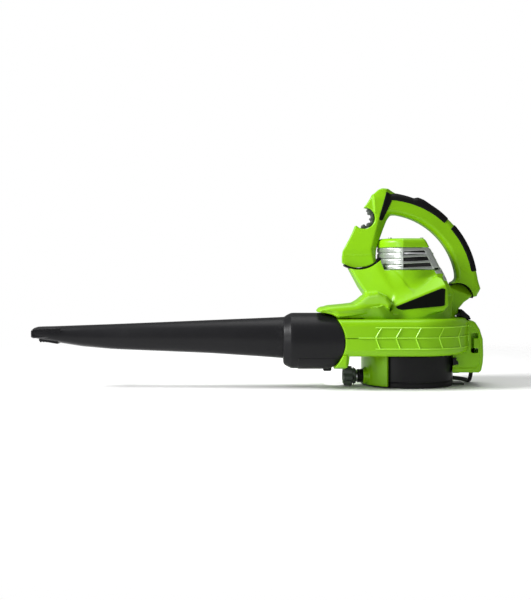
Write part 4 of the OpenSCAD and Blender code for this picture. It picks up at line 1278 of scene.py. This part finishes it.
@dataclass
class BlowingTube:
    """The collar, the tapered tube and the scraper at its tip."""

    stations: tuple[tuple[float, float, float, float], ...] = (
        (-243, 138.2, 57.2, 39.6), (-255, 137.4, 58.2, 39.4), (-300, 135.4, 61.6, 37.0),
        (-394, 131.5, 67.8, 32.0), (-487, 127.6, 71.7, 28.0), (-580, 123.8, 75.5, 24.4),
        (-640, 121.6, 81.0, 26.0), (-676, 120.2, 87.0, 30.0), (-700, 119.2, 92.0, 34.5),
        (-718, 118.8, 95.2, 37.2), (-728, 118.2, 97.4, 37.8), (-731.5, 116.8, 99.0, 37.0),
    )

    def ring(self, x: float, inset: float) -> Array:
        """Gives one section of the tube, rounder at the collar and flatter at the tip."""
        xs = [-s[0] for s in self.stations]
        top, foot, wide = (np.interp(-x, xs, [s[i] for s in self.stations]) for i in (1, 2, 3))
        flat = np.clip((-x - 600) / 110, 0, 1)
        power = 1.0 - 0.28 * flat
        high = (top - foot) / 2 - inset
        turn = np.radians(np.linspace(0, 360, 73)[:-1])
        c, s = np.cos(turn), np.sin(turn)
        ys = LAYOUT.duct_y + (wide - inset) * np.sign(c) * np.abs(c) ** power
        zs = (top + foot) / 2 + high * np.sign(s) * np.abs(s) ** power
        return np.stack([np.full_like(ys, x), ys, zs], axis=1)

    def tube(self) -> bpy.types.Object:
        """Makes the tube with its bore and rolled mouth."""
        smooth = np.concatenate([np.linspace(-243, -600, 24), np.linspace(-612, -724, 26),
                                 [-727, -729.5, -731, -731.6]])
        outer = [self.ring(x, 0) for x in smooth[:-3]]
        outer += [self.ring(-729.5, 0.25), self.ring(-731.0, 0.8), self.ring(-731.6, 1.6)]
        inner = [self.ring(x, 2.8) for x in smooth[::-1][3:]]
        inner[0] = self.ring(-729.5, 2.8)
        rings = outer + inner
        return lofted("taper_tube", rings + [rings[0]], 50, capped=False)

    def scraper(self) -> bpy.types.Object:
        """Makes the toothed scraper under the tip."""
        y = LAYOUT.duct_y
        shape = slab([(-720, 92.5), (-684, 86.5), (-684, 97), (-720, 98)], y - 20, y + 20, 1)
        for i in range(6):
            x = -717.0 + 5.6 * i
            tooth = slab([(x - 2.0, 97), (x - 1.2, 89.8), (x + 1.2, 89.8), (x + 2.0, 97)], y - 19, y + 19, 0.5)
            shape = shape.join(tooth, 0.8)
        return moulded("tip_teeth", shape, (-722, y - 21, 86), (-682, y + 21, 99), 0.8)

    def lip(self) -> bpy.types.Object:
        """Makes the glossy flattened panel on the tip."""
        outline = [(-731, 101), (-727, 98.5), (-682, 100.5), (-675, 117.5), (-727, 116.0), (-731, 113)]
        tube = Shape(lambda x, y, z: rounded(np.abs(z - 107.5) - (11.0 + (x + 731) * 0.08),
                                             np.abs(y - LAYOUT.duct_y)
                                             - (37.9 + (-731 - x) * 0.16), 5))
        skin = tube.grow(0.7).cut(tube.grow(-1.2)).keep(slab(outline, -140, 0, 1.5), 1.0)
        return moulded("tip_panel", skin, (-732, -110, 96), (-672, -30, 120), 0.9)

    def collar(self) -> Shape:
        """Gives the collar with its tapered front, its steps and its round rear edge."""
        y, z, r = LAYOUT.duct_y, LAYOUT.tube_z, LAYOUT.collar_r
        profile = [(43.5, -253), (46.5, -252.4), (51.5, -241.5), (53.0, -238.5), (r, -234), (r, -130),
                   (50.5, -130), (50.5, -236), (41.5, -240), (41.5, -253)]
        shape = lathe(Axis.X, (0, y, z), profile)
        rear = rod(Axis.Y, (-203, y, z), 66.0, 90, 0.5)
        shape = shape.keep(rear, 1.6)
        step = lathe(Axis.X, (0, y, z), [(52, -226), (54.6, -224), (54.6, -150), (52, -148)])
        low = below((0, 0, 1), (0, 0, z - 31))
        shape = shape.join(step.keep(low, 1.0).keep(rear, 1.5), 0.6)
        window = slab([(-178, 20), (-178, 50), (-132, 50), (-132, 20)], y - 8, y + 8, 1)
        return shape.cut(window, 0.8)

    def latch(self) -> Shape:
        """Gives the latch tab with its thumb ridges."""
        y = LAYOUT.duct_y
        shape = slab([(-176, 35), (-174, 33.6), (-162, 33.6), (-160, 35), (-160, 46), (-176, 46)],
                     y - 6, y + 6, 1.2)
        for i in range(3):
            shape = shape.join(rod(Axis.Y, (-172 + 4 * i, y, 34.2), 1.0, 5, 0.4), 0.5)
        return shape

    def build(self) -> None:
        """Makes the tube, the collar, the scraper and the latch."""
        y = LAYOUT.duct_y
        dress(self.tube(), Finishes.black, "blower_tube", body="tube")
        dress(moulded("tube_sleeve", self.collar(), (-254, y - 56, 36), (-136, y + 56, 148), 1.5),
              Finishes.black, "tube_collar", body="tube")
        dress(self.scraper(), Finishes.black, "tip_scraper", body="tube")
        dress(self.lip(), Finishes.gloss_black, body="tube")
        dress(moulded("latch_tab", self.latch(), (-177, y - 7, 32), (-159, y + 7, 47), 0.7),
              Finishes.black, "tube_latch", body="latch")


# ---- outlet, skirt, guard, knob and cover ---------------------------------------------------


@dataclass
class OutletSocket:
    """The spigot inside the collar and the flange under it."""

    def shape(self) -> Shape:
        """Gives the spigot and the flange."""
        y, z = LAYOUT.duct_y, LAYOUT.tube_z
        spigot = lathe(Axis.X, (0, y, z), [(47.2, -187), (49.4, -187.5), (50.0, -185), (50.0, -128),
                                           (47.2, -128)])
        flange = rod(Axis.X, (-138, y, z), 54.6, 18, 2)
        flange = flange.keep(slab([(-158, 34), (-158, 66), (-134, 66), (-131, 60), (-134, 34)], -140, 0, 2), 1)
        flange = flange.cut(rod(Axis.Y, (-203, y, z), 67, 100, 0.5), 1)
        foot = slab([(-157, 44), (-156, 66), (-132, 68), (-133, 44)], y - 52, y + 30, 4)
        foot = foot.cut(rod(Axis.Y, (-203, y, z), 67, 100, 0.5), 1).cut(rod(Axis.X, (-140, y, z), 47, 30), 1)
        return spigot.join(flange, 0.5).join(foot, 2)

    def build(self) -> None:
        """Makes the socket."""
        piece = moulded("outlet_spigot", self.shape(), (-189, -126, 34), (-126, -12, 148), 1.5)
        dress(piece, Finishes.shell, "outlet_socket")


@dataclass
class InletGuard:
    """The skirt, the guard ring with its grille, and the star knob that clamps it."""

    knob_y: float = -30.0
    knob_z: float = 20.0

    def front(self, wall: Shape, angle: float, edge: float) -> Shape:
        """Keeps the front of a round wall, up to an angle on either side."""
        turn = math.radians(angle)
        for side in (-1, 1):
            wall = wall.keep(below((math.sin(turn), side * math.cos(turn), 0), (0, 0, 0)), edge)
        return wall

    def skirt(self) -> Shape:
        """Gives the skirt round the front of the guard, with its screw boss."""
        wall = lathe(Axis.Z, (0, 0, 0), [(89.5, 3), (94.3, 3), (95.5, 4.5), (95.5, 64.5), (89.5, 64.5)])
        boss = rod(Axis.X, (-89, self.knob_y, self.knob_z), 16, 6.5, 1.5)
        shape = self.front(wall, 56, 1.5).join(boss, 2)
        return shape.cut(rod(Axis.Z, (0, 0, 30), 89.5, 60, 0.5))

    def rim(self) -> Shape:
        """Gives the thin dark seal under the skirt."""
        wall = lathe(Axis.Z, (0, 0, 0), [(89.8, 1.4), (95.6, 1.4), (95.9, 3.4), (89.8, 3.4)])
        return self.front(wall, 55, 1)

    def ring(self) -> Shape:
        """Gives the guard ring and the grille in its foot."""
        r = 86.0
        wall = lathe(Axis.Z, (0, 0, 0), [
            (r - 3, 1), (r - 2.5, 0.4), (r - 1.2, 0), (r, 1.4), (r, 9.4),
            (r - 0.9, 10), (r - 0.9, 11.4), (r, 12),
            (r, 61), (r - 1, 62), (r - 3, 62)])
        for radius in (17.0, 31.0, 43.0, 55.0, 67.0, 78.0):
            wall = wall.join(lathe(Axis.Z, (0, 0, 0), [(radius - 2.2, 0.4), (radius + 2.2, 0.4),
                                                       (radius + 2.2, 5), (radius - 2.2, 5)]))
        for angle in range(0, 180, 45):
            a = math.radians(angle)
            bar = Shape(lambda x, y, z, a=a: rounded(np.abs(-x * math.sin(a) + y * math.cos(a)) - 2.2,
                                                     np.abs(z - 2.8) - 2.2, 0.6))
            wall = wall.join(bar.keep(rod(Axis.Z, (0, 0, 0), 84, 10)), 0.6)
        return wall.join(rod(Axis.Z, (0, 0, 2.8), 16, 2.2, 0.8))

    def knob(self) -> Shape:
        """Gives the star knob with its face disc."""
        low, high = node_box("clamp_knob")
        x0, x1, y, z = low[0], high[0], self.knob_y, self.knob_z
        middle, half = float(x0 + x1) / 2, float(x1 - x0) / 2
        shape = rod(Axis.X, (middle, y, z), 15.0, half, 2)
        for angle in range(10, 370, 60):
            a = math.radians(angle)
            lobe = rod(Axis.X, (middle - 1, y + 13.4 * math.cos(a), z + 13.4 * math.sin(a)), 6.0, half - 3, 2.2)
            shape = shape.join(lobe, 2.0)
        groove = lathe(Axis.X, (0, y, z), [(14.6, x1 - 7.5), (30, x1 - 7.5), (30, x1 - 5.3), (14.6, x1 - 5.3)])
        dish = rod(Axis.X, (float(x0), y, z), 9, 1.6, 0.8)
        return shape.cut(groove, 1).cut(dish, 1)

    def neck(self) -> bpy.types.Object:
        """Makes the ribbed neck between the skirt and the knob."""
        low, high = node_box("knob_neck")
        turns = arc((0, 0), 1, 0, 360, 48)[:-1]
        rings = []
        for x in np.linspace(low[0], high[0], 56):
            wave = 0.5 + 0.5 * math.cos(2 * math.pi * (x - low[0]) / 3.6)
            r = 12.4 + 1.5 * wave ** 0.6
            rings.append(np.array([(x, self.knob_y + r * c, self.knob_z + r * s) for c, s in turns]))
        inner = [np.array([(r[0][0], self.knob_y + 4.6 * c, self.knob_z + 4.6 * s) for c, s in turns])
                 for r in rings[::-1]]
        loop = rings + inner
        return lofted("neck_ribs", loop + [loop[0]], 40, capped=False)

    def foot(self) -> Shape:
        """Gives the tongue at the rear of the guard."""
        plate = slab([(85.5, 0), (108, 0), (108, 3), (104, 4), (85.5, 4)], -15, 15, 0.8)
        return plate.cut(rod(Axis.Z, (0, 0, 2), 86, 12, 0.5)).join(
            rod(Axis.Y, (105, 0, 2.6), 1.4, 14, 0.5), 1)

    def catch(self) -> Shape:
        """Gives the hook that holds the guard's rear edge."""
        hook = slab([(78, 42), (89, 44), (88, 50), (84, 53), (86, 57), (78, 57)], -54, -44, 1)
        return hook.cut(rod(Axis.Z, (0, 0, 50), 88.5, 40, 0.5), 0.5)

    def build(self) -> None:
        """Makes the skirt, the guard and the knob."""
        skirt = moulded("inlet_apron", self.skirt(), (-97, -82, 2), (-46, 82, 65), 1.6)
        dress(skirt, Finishes.shell, "inlet_skirt")
        seal = moulded("apron_seal", self.rim(), (-97, -82, 1), (-46, 82, 4), 0.9)
        dress(seal, Finishes.black)
        ring = moulded("guard_drum", self.ring(), (-87, -87, 0), (87, 87, 62), 1.5)
        dress(ring, Finishes.black, "guard_ring", body="guard")
        dress(moulded("guard_tongue", self.foot(), (82, -16, 0), (109, 16, 5), 0.8),
              Finishes.grey, "guard_foot", body="guard")
        dress(moulded("guard_hook", self.catch(), (70, -56, 40), (90, -42, 58), 0.8),
              Finishes.black, "guard_catch")
        low, high = node_box("clamp_knob")
        dress(moulded("star_knob", self.knob(), tuple(low), tuple(high), 0.8),
              Finishes.grey, "clamp_knob", body="knob")
        dress(self.neck(), Finishes.black, "knob_neck")


@dataclass
class RearCover:
    """The rear cover with its lead hooks, and the strap eye over it."""

    half: float = 44.0

    def shape(self) -> Shape:
        """Gives the cover."""
        outer = [(76, 26), (131, 26), (136, 31), (139, 46), (140, 62), (139, 92), (133, 112),
                 (124, 126), (118, 129), (76, 129)]
        cover = slab(outer, -self.half, self.half, 5)
        panel = [(76, 36), (126, 36), (131, 44), (133, 64), (132, 90), (126, 106), (117, 118), (76, 118)]
        cover = cover.cut(slab(panel, -60, -self.half + 1.2, 0.8).both_sides(), 1.0)
        pocket = slab([(115.5, 67), (119, 65.5), (129, 66), (129.5, 104), (118, 104.5), (115.5, 102)],
                      -60, -28, 1).cut(slab([(121, 75), (132, 74), (132, 95), (121, 94)], -60, -20, 1.5), 1)
        cover = cover.cut(pocket.both_sides(), 1.0)
        well = slab([(92, 10), (129.5, 10), (134, 40), (136, 62), (135, 74), (92, 74)], -41, 41, 1)
        cover = cover.cut(well, 1).cut(rod(Axis.Z, (0, 0, 20), 89.5, 46, 0.5))
        scroll = upright(FanHousing().outline(), 64.5, 134.5, 13).grow(-0.5)
        return cover.cut(scroll).cut(rod(Axis.Z, (124.5, 0, 80), 7.6, 12, 0.5))

    def eye(self) -> Shape:
        """Gives the strap eye."""
        eye = slab([(94, 150), (104, 150), (120, 136), (121, 129), (100, 129)], -9, 9, 1.5)
        return eye.cut(rod(Axis.Y, (106, 0, 140), 3.5, 20, 0.5), 1)

    def wedge(self) -> Shape:
        """Gives the dark bumper between the scroll and the rear arm."""
        return slab([(97, 150), (103, 148), (116, 134), (118, 131), (108, 131), (96, 137)], -34, 34, 2)

    def build(self) -> None:
        """Makes the cover, the eye and the bumper."""
        dress(moulded("rear_cowl", self.shape(), (75, -45, 25), (141, 45, 130), 1.5),
              Finishes.shell, "rear_cover")
        dress(moulded("strap_loop", self.eye(), (93, -10, 128), (122, 10, 151), 0.9),
              Finishes.black, "strap_eye")
        dress(moulded("rear_bumper", self.wedge(), (94, -35, 130), (119, 35, 151), 1.1),
              Finishes.black)


@dataclass
class Seals:
    """The dark seals between the handle and the body."""

    def ring(self, centre: Place, inner: float, outer: float, half: float, sector: list[Point]) -> Shape:
        """Gives the part of a ring that lies in a sector."""
        ring = rod(Axis.Y, centre, outer, half, 1.5).cut(rod(Axis.Y, centre, inner, 60, 0.2))
        return ring.keep(slab(sector, -40, 40, 1))

    def front(self) -> Shape:
        """Gives the front seal."""
        sector = [(-130, 260), (-130, 205), (-60, 205), (-60, 262)]
        return self.ring(FRONT_SEAL, 52.8, 56.2, 23, sector)

    def rear(self) -> Shape:
        """Gives the rear seal."""
        sector = [(80, 188), (80, 222), (132, 222), (132, 172), (108, 172)]
        return self.ring(REAR_SEAL, 28.2, 30.0, 19.0, sector)

    def build(self) -> None:
        """Makes both seals."""
        dress(moulded("seal_front", self.front(), (-132, -24, 226), (-58, 24, 263), 1.0),
              Finishes.grip, "gasket_front")
        dress(moulded("seal_rear", self.rear(), (78, -21, 170), (127, 21, 205), 1.0),
              Finishes.grip, "gasket_rear")


# ---- everything together --------------------------------------------------------------------


def dress_frame() -> None:
    """Gives every CAD node that stays its procedural finish."""
    for part in frame["record"]["subparts"]:
        node = frame["nodes"].get(part["node"])
        finish = SLOT_FINISHES.get(part["material_slot"])
        if node is None or finish is None:
            continue
        material = finish.material()
        if not node.material_slots:
            node.data.materials.append(material)
        for place in node.material_slots:
            place.material = material


def main() -> None:
    """Builds the blower's visible model in order."""
    Studio().build()
    MainsLead().build()
    dress_frame()
    for part in (FanHousing(), MotorHousing(), Handle(), BlowingTube(), OutletSocket(),
                 InletGuard(), RearCover(), Seals()):
        part.build()
        LOG.info("%s done", type(part).__name__)


if __name__ == "__main__":
    main()
